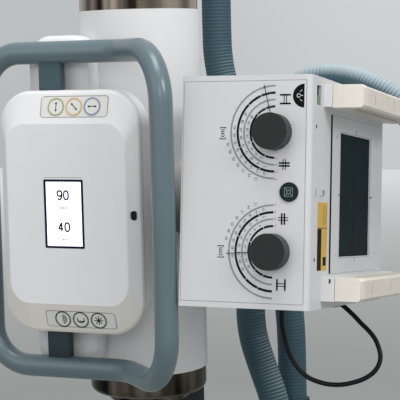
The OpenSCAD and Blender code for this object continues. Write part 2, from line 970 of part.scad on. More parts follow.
module rail_base_lower() {
    slot_x = exit_x + 9;
    slot_z = -rail_low_z - 6;
    color("white")
        at_collimator()
            difference() {
                block([exit_x, exit_x + rail_low_base - gap], [rail_base_front, col_back],
                    [-rail_low_z - rail_h - 1, -rail_low_z + 1.5]);
                block([slot_x, slot_x + 2.5], [rail_base_front - eps, rail_base_front + 3], [slot_z, slot_z + 5]);
            }
}

module rail_lower() {
    color("antiquewhite")
        at_collimator()
            rail(rail_low_base, groove_low_x, false);
}

module mirror_plate() {
    color("lightsteelblue")
        at_collimator()
            translate([mirror_x, 0, 0])
                rotate([0, 0, 45])
                    cube([mirror_t, mirror_side * 0.9, mirror_side], center = true);
}

module mirror_bracket() {
    z0 = mirror_side / 2 + gap;
    color("dimgray")
        at_collimator()
            for (s = [0, 1])
                mirror([0, 0, s])
                    translate([col_x + col_wall, -bracket_w / 2, z0])
                        cube([mirror_x + bracket_reach - col_x - col_wall, bracket_w, bracket_t]);
}

module lamp() {
    color("khaki")
        at_collimator()
            translate([lamp_x, 0, 0]) {
                along_y(30, -col_front + col_wall + gap, 26);
                along_y(14, -col_front + col_wall + 20, 22);
                translate([0, -col_front + col_wall + 42, 0])
                    sphere(d = 14);
            }
}

module blade_carrier() {
    y_in = partition_y - 2;
    z_in = col_h / 2 - col_wall - gap;
    color("dimgray")
        at_collimator()
            difference() {
                block([carrier_x, carrier_x + carrier_t], [-partition_y + gap, col_back - col_wall - gap], [-z_in, z_in]);
                block([carrier_x - eps, carrier_x + carrier_t + eps], [-carrier_open / 2, carrier_open / 2],
                    [-carrier_open / 2, carrier_open / 2]);
            }
}

upper_gap = blade_travel * upper_rest / 180;
lower_gap = blade_travel * lower_rest / 180;
blade_x_near = carrier_x - gap - blade_t;
blade_x_far = carrier_x + carrier_t + gap;

module blade_top() {
    color("gray")
        at_collimator()
            block([blade_x_near, blade_x_near + blade_t], [-blade_w / 2, blade_w / 2],
                [upper_gap + gap, upper_gap + gap + blade_up_l]);
}

module blade_bottom() {
    color("gray")
        at_collimator()
            block([blade_x_near, blade_x_near + blade_t], [-blade_w / 2, blade_w / 2],
                [-upper_gap - gap - blade_up_l, -upper_gap - gap]);
}

module blade_front() {
    color("gray")
        at_collimator()
            block([blade_x_far, blade_x_far + blade_t], [-lower_gap - gap - blade_side_l, -lower_gap - gap],
                [-blade_w / 2, blade_w / 2]);
}

module blade_back() {
    color("gray")
        at_collimator()
            block([blade_x_far, blade_x_far + blade_t], [lower_gap + gap, lower_gap + gap + blade_side_l],
                [-blade_w / 2, blade_w / 2]);
}

knob_back = panel_y - gap - cursor_t - gap;

module knob(z) {
    translate([dial_axis_x, 0, z]) {
        difference() {
            along_y(knob_d, knob_back - knob_l, knob_l);
            for (k = [0:knob_flutes - 1])
                rotate([0, 360 * k / knob_flutes, 0])
                    translate([knob_d / 2 + 0.35, 0, 0])
                        along_y(1.8, knob_back - knob_l + 3, knob_l - 4.5);
        }
        along_y(shaft_d, knob_back - eps, -knob_back - col_front + col_wall + 8 + eps);
        along_y(22, -col_front + col_wall + gap, 6);
    }
}

module knob_upper() {
    color("darkslategray")
        at_collimator()
            knob(dial_z);
}

module knob_lower() {
    color("darkslategray")
        at_collimator()
            knob(-dial_z);
}

module cursor(z, turn) {
    r = cursor_d / 2;
    h = cursor_w / 2;
    a = acos(r / norm([h, cursor_l])) + atan2(h, cursor_l);
    steps = 60;
    rim = [for (k = [0:steps]) let (b = a + (360 - 2 * a) * k / steps) r * [sin(b), cos(b)]];
    translate([dial_axis_x, panel_y - gap, z])
        rotate([0, -turn, 0])
            rotate([90, 0, 0])
                linear_extrude(cursor_t)
                    difference() {
                        polygon(concat([[-h, cursor_l], [h, cursor_l]], rim));
                        circle(d = shaft_d + 2 * fit);
                    }
}

module cursor_upper() {
    color([0.8, 0.85, 0.85, 0.5])
        at_collimator()
            cursor(dial_z, upper_rest);
}

module cursor_lower() {
    color([0.8, 0.85, 0.85, 0.5])
        at_collimator()
            cursor(-dial_z, lower_rest);
}

module light_button() {
    color("darkslategray")
        at_collimator()
            translate([col_x + light_x, 0, 0])
                along_y(light_d, panel_y - 1.8, 1.8 + panel_t + col_wall);
}

module tape_mouth() {
    color("darkseagreen")
        at_collimator()
            block([exit_x - col_wall + gap, exit_x - 1], [tape_y - tape_w / 2 + gap, tape_y + tape_w / 2 - gap],
                [tape_z - tape_h / 2 + gap, tape_z]);
}

module line_switch() {
    color("white")
        at_collimator()
            block([exit_x - switch_depth + gap, exit_x + 1.2], [switch_y - switch_w / 2 + gap, switch_y - switch_w / 2 + 9],
                [-switch_h / 2 + gap, switch_h / 2 - gap]);
}

module lead() {
    color("black")
        at_collimator()
            translate([0, 0, -col_h / 2])
                sweep(lead_line, lead_d, [0, 1, 0], 12);
}

module lead_glands() {
    last = lead_path[len(lead_path) - 1];
    color("black")
        at_collimator()
            translate([0, 0, -col_h / 2]) {
                block([gland_x - gland_w / 2, lead_path[0][0]], [gland_y - gland_w / 2, gland_y + gland_w / 2],
                    [-gland_h, -gap]);
                translate(last)
                    cylinder(d = cap_gland_d, h = -gap - last[2]);
            }
}

module frame_screws() {
    color("silver")
        at_collimator()
            for (y = [screw_front_y, screw_back_y], z = [-screw_z, screw_z])
                translate([0, y, z]) {
                    along_x(screw_d, exit_x - frame_t, frame_t + eps);
                    along_x(screw_head_d, exit_x + gap / 10, screw_head_h);
                }
}

mount_flange();
arm();
shroud();
tube_tank();
cap_top();
cap_bottom();
port_neck();
port_plate();
console_carrier();
handle_loop();
handle_strap();
console_front();
console_rear();
display();
key_plate_top();
key_plate_bottom();
key_top_1();
key_top_2();
key_top_3();
key_low_1();
key_low_2();
key_low_3();
console_port();
hv_well_upper();
hv_well_lower();
hv_plug_upper();
hv_plug_lower();
hose_upper();
hose_lower();
hose_end_upper();
hose_end_lower();
swivel_ring();
collimator_housing();
front_panel();
window_frame();
frame_seal();
window();
rail_base_upper();
rail_upper();
rail_base_lower();
rail_lower();
mirror_plate();
mirror_bracket();
lamp();
blade_carrier();
blade_top();
blade_bottom();
blade_front();
blade_back();
knob_upper();
knob_lower();
cursor_upper();
cursor_lower();
light_button();
tape_mouth();
line_switch();
lead();
lead_glands();
frame_screws();
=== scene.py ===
"""Dresses a turning x-ray tube head: console, tubular handle, polished tube ends, two-knob collimator and hoses."""

from __future__ import annotations

import json
import logging
import math
from dataclasses import dataclass
from enum import Enum
from typing import Callable, ClassVar, Sequence

import bpy
from mathutils import Matrix, Vector

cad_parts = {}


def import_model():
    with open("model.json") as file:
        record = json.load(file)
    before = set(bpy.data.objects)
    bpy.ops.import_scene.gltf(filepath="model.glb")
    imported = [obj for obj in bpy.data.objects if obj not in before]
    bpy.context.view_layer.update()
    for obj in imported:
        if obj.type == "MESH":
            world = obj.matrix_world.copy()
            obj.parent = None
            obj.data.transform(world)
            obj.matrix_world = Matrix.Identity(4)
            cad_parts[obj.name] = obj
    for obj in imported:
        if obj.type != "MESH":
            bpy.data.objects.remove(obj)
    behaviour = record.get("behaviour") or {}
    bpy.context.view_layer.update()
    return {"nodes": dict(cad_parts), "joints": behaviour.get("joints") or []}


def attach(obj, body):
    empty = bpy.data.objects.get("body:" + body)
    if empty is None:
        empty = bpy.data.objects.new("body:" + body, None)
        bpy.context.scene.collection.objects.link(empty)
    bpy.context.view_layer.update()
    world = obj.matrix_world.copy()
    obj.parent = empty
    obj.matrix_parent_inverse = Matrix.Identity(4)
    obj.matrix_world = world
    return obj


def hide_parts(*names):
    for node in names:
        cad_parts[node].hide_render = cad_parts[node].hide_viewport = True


LOG = logging.getLogger("tube_head")
MM = 0.001
UNIT = (0.0, 1.0)
ORIGIN = (0.0, 0.0)
Flat = tuple[float, float]
Point = tuple[float, float, float]
Line = Sequence[Sequence[float]]
Obj = bpy.types.Object
Tree = bpy.types.NodeTree
Node = bpy.types.Node
Socket = bpy.types.NodeSocket


class Body(Enum):
    """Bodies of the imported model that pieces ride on."""

    HEAD = "head"
    COLLIMATOR = "collimator"
    UPPER_KNOB = "upper_knob"
    LOWER_KNOB = "lower_knob"
    LIGHT_BUTTON = "field_light_button"
    TOP_KEY_1 = "top_key_1"
    TOP_KEY_2 = "top_key_2"
    TOP_KEY_3 = "top_key_3"
    LOW_KEY_1 = "low_key_1"
    LOW_KEY_2 = "low_key_2"
    LOW_KEY_3 = "low_key_3"


# ---------------------------------------------------------------- materials


def srgb(code: str) -> tuple[float, float, float, float]:
    """Turns six hex digits of sRGB to linear red, green, blue and alpha."""
    parts = [int(code[i : i + 2], 16) / 255 for i in (0, 2, 4)]
    red, green, blue = (c / 12.92 if c <= 0.04045 else ((c + 0.055) / 1.055) ** 2.4 for c in parts)
    return (red, green, blue, 1.0)


def add_node(tree: Tree, kind: str, links: dict | None = None, **settings: object) -> Node:
    """Adds a node, sets it and links its inputs.

    Args:
        tree: The tree that gets the node.
        kind: Blender's node type.
        links: Output sockets by the input that each feeds.
        **settings: Attributes, or input values by name with underscores for spaces.

    Returns:
        The new node.
    """
    node = tree.nodes.new(kind)
    for key, value in settings.items():
        if hasattr(node, key):
            setattr(node, key, value)
        else:
            node.inputs[key.replace("_", " ")].default_value = value
    for key, socket in (links or {}).items():
        tree.links.new(socket, node.inputs[key])
    return node


def remap(tree: Tree, value: Socket, source: Flat = UNIT, target: Flat = UNIT, kind: str = "LINEAR") -> Socket:
    """Maps a value from one range to another.

    Args:
        tree: The tree that gets the node.
        value: The value's socket.
        source: The range it comes in.
        target: The range it leaves in.
        kind: How it runs between the ends.

    Returns:
        The mapped value's socket.
    """
    node = add_node(tree, "ShaderNodeMapRange", {"Value": value}, interpolation_type=kind)
    for key, limit in zip(("From Min", "From Max", "To Min", "To Max"), source + target):
        node.inputs[key].default_value = limit
    return node.outputs[0]


def noise(tree: Tree, vector: Socket, patch_mm: float, detail: float) -> Socket:
    """Noise from 0 to 1 whose patches have a size in millimetres."""
    node = add_node(tree, "ShaderNodeTexNoise", {"Vector": vector}, Scale=1 / (patch_mm * MM), Detail=detail)
    return node.outputs["Fac"]


@dataclass(frozen=True)
class Shift:
    """A second tone that takes over along one axis of a surface's normal or place, or outward from the middle (R)."""

    tone: str
    source: str
    axis: str
    start: float
    end: float

    def mix(self, tree: Tree, coords: Node, colour: Socket) -> Socket:
        """Mixes the tone over a colour.

        Args:
            tree: The material's tree.
            coords: Its texture coordinates.
            colour: The colour so far.

        Returns:
            The mixed colour.
        """
        vector = coords.outputs[self.source]
        if self.axis == "R":
            value = add_node(tree, "ShaderNodeVectorMath", {0: vector}, operation="LENGTH").outputs["Value"]
        else:
            value = add_node(tree, "ShaderNodeSeparateXYZ", {"Vector": vector}).outputs[self.axis]
        share = remap(tree, value, (self.start, self.end))
        mixed = add_node(tree, "ShaderNodeMix", {"Factor": share}, data_type="RGBA")
        tree.links.new(colour, mixed.inputs[6])
        mixed.inputs[7].default_value = srgb(self.tone)
        return mixed.outputs[2]


@dataclass(frozen=True)
class Finish:
    """A surface finish that builds one procedural material.

    The base colour drifts between two close tones over a broad patch size, and the
    roughness and the bump follow a finer grain. A brushed finish has its grain drawn
    out along one axis, and a streaked one has long upright bands of both tones as painted reflections.
    """

    name: str
    tone: str
    other_tone: str
    roughness: float
    grain_mm: float
    bump: float = 0.05
    patch_mm: float = 90.0
    metallic: float = 0.0
    rough_spread: float = 0.06
    coat: float = 0.0
    coat_roughness: float = 0.1
    ior: float = 1.5
    specular: float = 0.5
    glow: float = 0.0
    brushed_axis: int | None = None
    streak_mm: float = 0.0
    alpha: float = 1.0
    shift: Shift | None = None
    across: ClassVar[float] = 14.0
    along: ClassVar[float] = 0.25
    streak_run: ClassVar[float] = 0.04
    streak_edge: ClassVar[Flat] = (0.38, 0.62)

    def build(self) -> bpy.types.Material:
        """Builds the material once, and gives the same one back on every later call."""
        known = bpy.data.materials.get(self.name)
        if known:
            return known
        material = bpy.data.materials.new(self.name)
        material.use_nodes = True
        tree = material.node_tree
        tree.nodes.clear()
        coords = add_node(tree, "ShaderNodeTexCoord")
        place = coords.outputs["Object"]
        stretch = [1.0] * 3
        if self.brushed_axis is not None:
            stretch = [self.across] * 3
            stretch[self.brushed_axis] = self.along
        drawn = add_node(tree, "ShaderNodeMapping", {"Vector": place}, Scale=stretch).outputs[0]
        fine = noise(tree, drawn, self.grain_mm, 3.0)
        if self.streak_mm:
            run = add_node(tree, "ShaderNodeMapping", {"Vector": place}, Scale=[1.0, 1.0, self.streak_run]).outputs[0]
            share = remap(tree, noise(tree, run, self.streak_mm, 2.0), self.streak_edge)
        else:
            share = noise(tree, place, self.patch_mm, 2.0)
        tones = add_node(tree, "ShaderNodeMix", {"Factor": share}, data_type="RGBA")
        tones.inputs[6].default_value = srgb(self.tone)
        tones.inputs[7].default_value = srgb(self.other_tone)
        colour = tones.outputs[2]
        if self.shift:
            colour = self.shift.mix(tree, coords, colour)
        low, high = max(0.02, self.roughness - self.rough_spread), min(1.0, self.roughness + self.rough_spread)
        bump = add_node(tree, "ShaderNodeBump", {"Height": fine}, Strength=self.bump, Distance=self.grain_mm * MM)
        shader = add_node(
            tree,
            "ShaderNodeBsdfPrincipled",
            {"Base Color": colour, "Roughness": remap(tree, fine, target=(low, high)), "Normal": bump.outputs[0]},
            Metallic=self.metallic,
            IOR=self.ior,
            Specular_IOR_Level=self.specular,
            Coat_Weight=self.coat,
            Coat_Roughness=self.coat_roughness,
            Alpha=self.alpha,
        )
        if self.glow:
            shader.inputs["Emission Color"].default_value = srgb(self.tone)
            shader.inputs["Emission Strength"].default_value = self.glow
        add_node(tree, "ShaderNodeOutputMaterial", {"Surface": shader.outputs[0]})
        return material


def ink(name: str, tone: str, other_tone: str, roughness: float = 0.5, specular: float = 0.5) -> Finish:
    """A screen-printed ink: thin, even and nearly matt."""
    return Finish(f"screen_ink_{name}", tone, other_tone, roughness, 0.5, specular=specular)


class Finishes:
    """Every finish of the tube head, named for what the real surface is; some also carry painted light and shade."""

    # Polyester paint on sheet steel: an even satin white with a faint orange peel.
    shroud = Finish("polyester_paint_white", "DADADA", "D3D3D4", 0.42, 5.0, 0.03, coat=0.15)
    # Grey paint on the cast neck between tube and collimator, darker towards its lower half as painted shade.
    neck = Finish(
        "cast_alloy_grey_paint", "C0BFBB", "B8B7B3", 0.5, 3.0, 0.08,
        shift=Shift("6A6761", "Object", "Z", 0.08, -0.03),
    )
    # Painted sheet of the collimator: neutral white, a touch flatter.
    housing = Finish("sheet_paint_white", "CACACC", "C4C4C7", 0.46, 4.0, 0.03, coat=0.08)
    # Injection-moulded ABS with a spark-eroded texture; its downward faces turn warmer and darker as painted shade.
    console = Finish(
        "moulded_abs_off_white", "DEDEDF", "D7D7D9", 0.5, 0.9, 0.10, shift=Shift("D9D4CA", "Normal", "Z", 0.0, -0.4),
    )
    # The same ABS on the rear shell, greyer and warmer as painted shade, with a dull sheen.
    console_back = Finish("moulded_abs_painted_shade_grey", "C8C5BF", "C0BDB7", 0.55, 0.9, 0.1)
    # Powder coat on bent steel tube: satin blue-grey with a fine grain.
    handle = Finish("powder_coat_blue_grey", "5C6E75", "53656C", 0.32, 1.6, 0.06, coat=0.35, coat_roughness=0.25)
    # Deep grey powder coat on the strap, darkened at its lower end as painted shade.
    strap = Finish(
        "powder_coat_deep_grey", "435760", "3B4F57", 0.45, 1.6, 0.08, specular=0.3,
        shift=Shift("18262A", "Object", "Z", -0.13, -0.2),
    )
    # Nickel-plated steel: warm dark streaks down the polished barrel, painted reflections of a dark room; upward
    # faces take an even grey.
    polished = Finish(
        "nickel_plated_steel", "B9AC9C", "2E2822", 0.2, 2.0, 0.03, metallic=1.0, brushed_axis=2, streak_mm=26.0,
        shift=Shift("8A857C", "Normal", "Z", 0.55, 0.8),
    )
    # The lower end sits in shadow: darker tones as painted shade, bright and dark streaks as painted reflections;
    # downward faces take an even grey.
    polished_low = Finish(
        "nickel_painted_shade_and_reflections", "7A7064", "0F0D0B", 0.24, 2.0, 0.03, metallic=1.0, brushed_axis=2, streak_mm=30.0,
        shift=Shift("6F6A62", "Normal", "Z", -0.55, -0.8),
    )
    # Turned steel: fine rings that catch the light one way.
    machined = Finish("turned_steel", "A8A9AA", "98999A", 0.3, 1.5, 0.05, metallic=1.0, brushed_axis=1)
    # Aged cream acetal of the accessory rails, handled and slightly soiled.
    rail = Finish("aged_acetal_cream", "DCD6CC", "CDC5B8", 0.5, 3.0, 0.12, patch_mm=22.0)
    # Cream cloth tape round the rails' front ends, soft and slightly creased.
    tape = Finish("cream_cloth_tape", "E2DDD4", "D8D1C6", 0.7, 1.4, 0.3, patch_mm=9.0, specular=0.3)
    # Nylon knobs: a dull dark front, and a paler flank as a painted highlight.
    knob = Finish(
        "moulded_nylon_charcoal", "262B2A", "212625", 0.55, 0.7, 0.12, specular=0.2,
        shift=Shift("414645", "Normal", "Y", -0.9, -0.6),
    )
    # Clear acrylic pointer.
    clear = Finish("clear_acrylic", "E9EEEE", "E2E8E8", 0.08, 3.0, 0.0, ior=1.49, rough_spread=0.02, alpha=0.015)
    # Smoked polycarbonate window, nearly black from outside.
    window = Finish("smoked_polycarbonate", "182629", "142124", 0.4, 6.0, 0.01, patch_mm=60.0, specular=0.01)
    # Lit display glass: an even, cold white that glows a little.
    screen = Finish("lit_display_glass", "F6F8FF", "EEF2FC", 0.2, 2.0, 0.0, glow=0.9)
    # Ink frame of the screen: almost black, with a blue line where the light leaks.
    screen_edge = Finish("display_ink_navy", "080D24", "060A1D", 0.4, 2.0, 0.0, specular=0.15)
    screen_leak = Finish("display_leak_blue", "3A57B8", "3350AE", 0.4, 2.0, 0.0, glow=0.25)
    # Printed polyester film on the keys: warm grey and satin.
    film = Finish("printed_polyester_film", "D6D5D2", "CFCECA", 0.4, 0.8, 0.05)
    # Ribbed conduit hose of blue-grey polyurethane, with its upward faces turned pale as painted top light.
    hose = Finish(
        "ribbed_conduit_blue_grey", "3E5963", "324A54", 0.6, 3.0, 0.1, specular=0.3,
        shift=Shift("A6B2B8", "Normal", "Z", 0.2, 0.85),
    )
    # Black PVC jacket with a soft sheen.
    lead = Finish("pvc_jacket_black", "0B0D0F", "08090B", 0.42, 1.2, 0.08, specular=0.2)
    # Moulded polyamide: a flat black inlet.
    black = Finish("moulded_pa_black", "0E0F10", "0A0B0C", 0.5, 1.0, 0.1, specular=0.2)
    # Plug rubber: dark and matt.
    rubber = Finish("plug_rubber_dark", "24292C", "1D2225", 0.6, 1.5, 0.15, specular=0.3)
    # Dusty felt inside the tape recess.
    felt = Finish("recess_felt_green", "7F8D80", "6F7D71", 0.85, 1.2, 0.2, specular=0.1)
    # Rolled lead sheet: soft, dull grey.
    blade = Finish("lead_sheet_dull", "5A5C5F", "4C4E51", 0.55, 4.0, 0.2, metallic=1.0)
    # Silvered film of the light-field mirror.
    mirror = Finish("silvered_film", "D5DADF", "CCD2D8", 0.05, 4.0, 0.0, metallic=1.0, rough_spread=0.02)
    # Lamp glass: warm and glossy.
    lamp = Finish("lamp_glass_warm", "F2E9C8", "E8DDB8", 0.15, 2.0, 0.0, coat=0.5)
    # Dark green ABS: smooth, with little sheen.
    button = Finish("abs_dark_green", "182928", "142322", 0.4, 1.0, 0.03, specular=0.12)
    # Screen inks.
    ink_black = ink("black", "0B0C0E", "08090B", 0.6, 0.1)
    ink_grey = ink("grey", "8A8C90", "828488", specular=0.2)
    ink_dark_grey = ink("mid_grey", "2E3034", "292B2F", 0.6, 0.15)
    ink_blue = ink("deep_blue", "0D1124", "0A0E1E", 0.6, 0.1)
    ink_red = ink("red", "B4564E", "A84C45", specular=0.2)
    ink_green = ink("green", "8FA566", "859B5D")
    ink_orange = ink("orange", "D8AA68", "CD9F5E")
    ink_sky = ink("sky", "6C84A8", "647B9F")
    # Label vinyl: warm yellow, a little glossier than the inks.
    ink_yellow = Finish("label_vinyl_yellow", "CDA634", "C39B2C", 0.45, 0.8, 0.05)
    ink_white = ink("white", "E4E7E6", "DDE0DF")
    ink_pale = ink("pale_green", "8E9C98", "869490", specular=0.2)
    # Worn edges and scratches: a broken brown.
    ink_brown = Finish("worn_mark_brown", "8C8478", "7E766B", 0.7, 0.8, 0.1, specular=0.15)
    # Soft black foam strip beside the window frame, darkened as painted shadow of its gap; the same black paints the
    # gap shadow line and the recess rim.
    seal_and_gap_shade = Finish("seal_black_painted_gap_shadow", "090A0B", "060707", 0.8, 1.0, 0.15, specular=0.1)
    # Pale floor that fades into the room's light away from the part.
    floor = Finish(
        "studio_floor_pale", "9C9F9D", "989B99", 0.8, 40.0, 0.0, patch_mm=900.0, specular=0.1,
        shift=Shift("FFFFFF", "Object", "R", 1.6, 7.5),
    )


# ---------------------------------------------------------------- mesh making


def make_mesh(name: str, verts: Line, faces: Sequence[Sequence[int]], finish: Finish) -> Obj:
    """Makes a mesh object.

    Args:
        name: The object's name.
        verts: Points in metres.
        faces: Point indices of each face.
        finish: The finish it gets.

    Returns:
        The linked object.
    """
    mesh = bpy.data.meshes.new(name)
    mesh.from_pydata([tuple(v) for v in verts], [], [tuple(f) for f in faces])
    mesh.validate()
    mesh.update()
    obj = bpy.data.objects.new(name, mesh)
    bpy.context.scene.collection.objects.link(obj)
    obj.data.materials.append(finish.build())
    return obj


def shade(obj: Obj, degrees: float) -> Obj:
    """Smooths an object over the edges that are blunter than an angle, and gives it back."""
    obj.data.polygons.foreach_set("use_smooth", [True] * len(obj.data.polygons))
    obj.data.set_sharp_from_angle(angle=math.radians(degrees))
    return obj


def skin(rings: int, sides: int, closed: bool = False) -> list[list[int]]:
    """Faces that join equal rings of points to one closed surface.

    Args:
        rings: How many rings, in order.
        sides: How many points each ring has.
        closed: Whether the last ring joins the first one, in place of two end caps.

    Returns:
        Point indices of each face.
    """
    faces = []
    for i in range(rings if closed else rings - 1):
        a, b = i * sides, (i + 1) % rings * sides
        faces += [[a + k, a + (k + 1) % sides, b + (k + 1) % sides, b + k] for k in range(sides)]
    if not closed:
        faces += [list(range(sides))[::-1], [(rings - 1) * sides + k for k in range(sides)]]
    return faces


def section(centre: Vector, u: Vector, v: Vector, radius: float, sides: int, matrix: Matrix) -> list[Vector]:
    """Points of a round section in the plane of two directions, from millimetres to the row frame's metres."""
    turns = [2 * math.pi * k / sides for k in range(sides)]
    return [matrix @ ((centre + radius * (math.cos(a) * u + math.sin(a) * v)) * MM) for a in turns]


@dataclass(frozen=True)
class Sheet:
    """A printing plane: flat shapes are drawn on it in millimetres and stand a little proud."""

    name: str
    body: Body
    matrix: Matrix
    proud: float = 0.12

    def above(self, name: str, lift: float, proud: float, body: Body | None = None) -> Sheet:
        """Another plane over this one.

        Args:
            name: Its name.
            lift: Its height over this plane in millimetres.
            proud: How far its prints stand proud in millimetres.
            body: Its body, where that isn't this plane's.

        Returns:
            The plane.
        """
        return Sheet(name, body or self.body, self.matrix @ Matrix.Translation((0, 0, lift * MM)), proud)

    def solid(self, name: str, outline: Line, finish: Finish, proud: float | None = None) -> Obj:
        """Draws a filled outline.

        Args:
            name: The shape's name.
            outline: Points x, y in millimetres, in order.
            finish: The ink.
            proud: Its height in millimetres, where that isn't the sheet's.

        Returns:
            The object.
        """
        height = self.proud if proud is None else proud
        return self._mesh(name, [[(x, y, z) for x, y in outline] for z in (0.0, height)], finish)

    def stroke(
        self, name: str, points: Line, width: float, finish: Finish, closed: bool = False, proud: float | None = None
    ) -> Obj:
        """Draws a line of constant width.

        Args:
            name: The line's name.
            points: Points x, y in millimetres.
            width: The line's width in millimetres.
            finish: The ink.
            closed: Whether the line joins its own start.
            proud: Its height in millimetres, where that isn't the sheet's.

        Returns:
            The object.
        """
        height = self.proud if proud is None else proud
        n = len(points)
        rows = []
        for i, (x, y) in enumerate(points):
            before = points[(i - 1) % n] if closed or i else (x, y)
            after = points[(i + 1) % n] if closed or i < n - 1 else (x, y)
            run = Vector((after[0] - before[0], after[1] - before[1])).normalized() * width / 2
            corners = ((1, 0.0), (1, height), (-1, height), (-1, 0.0))
            rows.append([(x - s * run.y, y + s * run.x, z) for s, z in corners])
        return self._mesh(name, rows, finish, closed)

    def word(self, name: str, text: str, at: Flat, size: float, finish: Finish, bold: float = 0.0) -> Obj:
        """Prints digits or a unit, turned to be read from the right.

        Args:
            name: The print's name.
            text: What it says.
            at: Centre x, y in millimetres.
            size: Letter height in millimetres.
            finish: The ink.
            bold: Stroke growth in millimetres.

        Returns:
            The object.
        """
        em_per_height = 1.4
        curve = bpy.data.curves.new(f"{self.name}_{name}", "FONT")
        curve.body = text
        curve.size = size * em_per_height * MM
        curve.align_x = "CENTER"
        curve.align_y = "CENTER"
        curve.resolution_u = 3
        curve.offset = bold * MM
        curve.extrude = self.proud / 2 * MM
        source = bpy.data.objects.new("print_source", curve)
        bpy.context.scene.collection.objects.link(source)
        bpy.context.view_layer.update()
        mesh = bpy.data.meshes.new_from_object(source.evaluated_get(bpy.context.evaluated_depsgraph_get()))
        bpy.data.objects.remove(source)
        middle = Matrix.Translation((at[0] * MM, at[1] * MM, self.proud / 2 * MM))
        mesh.transform(self.matrix @ middle @ Matrix.Rotation(math.radians(90), 4, "Z"))
        mesh.materials.clear()
        mesh.materials.append(finish.build())
        obj = bpy.data.objects.new(f"{self.name}_{name}", mesh)
        bpy.context.scene.collection.objects.link(obj)
        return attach(obj, self.body.value)

    def _mesh(self, name: str, rows: Sequence[Line], finish: Finish, closed: bool = False) -> Obj:
        """Makes one shape from rows of points in millimetres, riding on the sheet's body."""
        verts = [self.matrix @ Vector([c * MM for c in p]) for row in rows for p in row]
        obj = make_mesh(f"{self.name}_{name}", verts, skin(len(rows), len(rows[0]), closed), finish)
        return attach(obj, self.body.value)


def polar(centre: Flat, radius: float, angle: float) -> Flat:
    """The point at a radius and an angle in degrees from a centre."""
    a = math.radians(angle)
    return (centre[0] + radius * math.cos(a), centre[1] + radius * math.sin(a))


def arc(centre: Flat, radius: float, start: float, end: float, steps: int = 48) -> list[Flat]:
    """Points along an arc.

    Args:
        centre: Its centre x, y in millimetres.
        radius: Its radius in millimetres.
        start: First angle in degrees, anticlockwise from x.
        end: Last angle in degrees.
        steps: How many steps.

    Returns:
        The points.
    """
    return [polar(centre, radius, start + (end - start) * k / steps) for k in range(steps + 1)]


def rectangle(x: float, y: float, w: float, h: float, r: float = 0.0) -> list[Flat]:
    """Outline of a rectangle with round corners about its centre.

    Args:
        x: Centre x in millimetres.
        y: Centre y in millimetres.
        w: Width in millimetres.
        h: Height in millimetres.
        r: Corner radius in millimetres.

    Returns:
        The outline's points.
    """
    if r <= 0:
        return [(x + sx * w / 2, y + sy * h / 2) for sx, sy in ((-1, -1), (1, -1), (1, 1), (-1, 1))]
    points: list[Flat] = []
    for sx, sy, a in ((1, 1, 0), (-1, 1, 90), (-1, -1, 180), (1, -1, 270)):
        points += arc((x + sx * (w / 2 - r), y + sy * (h / 2 - r)), r, a, a + 90, 6)
    return points


def glyph(char: str, x: float, y: float, w: float, h: float) -> list[tuple[list[Flat], bool]]:
    """Strokes of one bold display digit.

    Args:
        char: The digit, one of 0, 4 and 9.
        x: Centre x in millimetres.
        y: Centre y in millimetres.
        w: Width in millimetres.
        h: Height in millimetres.

    Returns:
        Lines with whether each closes on itself.
    """

    def line(shares: Line) -> list[Flat]:
        """Points from shares of the digit's width and height."""
        return [(x + a * w, y + b * h) for a, b in shares]

    def loop(middle: float, half: float, steps: int = 28, power: float = 0.75) -> list[Flat]:
        """A squarish ring of the digit's width."""
        turns = [polar(ORIGIN, 1, 360 * k / steps) for k in range(steps)]
        square = [[math.copysign(abs(c) ** power, c) for c in turn] for turn in turns]
        return line([(a / 2, middle + b * half) for a, b in square])

    if char == "0":
        return [(loop(0.0, 0.5), True)]
    if char == "9":
        tail = [(0.5, 0.19), (0.49, -0.1), (0.36, -0.36), (0.1, -0.5), (-0.2, -0.5), (-0.42, -0.4)]
        return [(loop(0.19, 0.31), True), (line(tail), False)]
    top, corner, bar, foot = (0.2, 0.5), (-0.5, -0.2), (0.5, -0.2), (0.2, -0.5)
    return [(line(ends), False) for ends in ((top, corner), (corner, bar), (top, foot))]


def smooth_line(points: Sequence[Point], steps: int) -> list[Vector]:
    """A smooth curve through points, as the model's own routes are.

    Args:
        points: The route's points in millimetres.
        steps: Points for each stretch.

    Returns:
        The curve's points in millimetres.
    """
    p = [Vector(q) for q in points]
    m = len(p) - 1
    out = []
    for i in range(m):
        a, b, c, d = p[max(i - 1, 0)], p[i], p[i + 1], p[min(i + 2, m)]
        for k in range(steps):
            t = k / steps
            out.append(
                0.5 * (2 * b + (c - a) * t + (2 * a - 5 * b + 4 * c - d) * t * t + (3 * b - a - 3 * c + d) * t**3)
            )
    return out + [p[m]]


def tube(
    name: str, line: Sequence[Vector], radius: Callable[[float], float], sides: int, finish: Finish, matrix: Matrix
) -> Obj:
    """A round tube along a line with a radius that may change along it.

    Args:
        name: The object's name.
        line: Centre line in millimetres.
        radius: Radius in millimetres at a run length in millimetres.
        sides: Sides of its section.
        finish: The finish.
        matrix: Places the line in the row frame, metres.

    Returns:
        The tube.
    """
    verts: list[Vector] = []
    run = 0.0
    normal = Vector((0.0, 1.0, 0.0))
    for i, p in enumerate(line):
        ahead = (line[min(i + 1, len(line) - 1)] - line[max(i - 1, 0)]).normalized()
        aligned = abs(normal.dot(ahead)) >= 0.999
        normal = Vector((1, 0, 0)) if aligned else (normal - ahead * normal.dot(ahead)).normalized()
        run += (p - line[max(i - 1, 0)]).length
        verts += section(p, normal, ahead.cross(normal), radius(run), sides, matrix)
    return shade(make_mesh(name, verts, skin(len(line), sides), finish), 50)


def run_length(line: Sequence[Vector]) -> float:
    """Length of a line in its own unit."""
    return sum((b - a).length for a, b in zip(line, line[1:]))


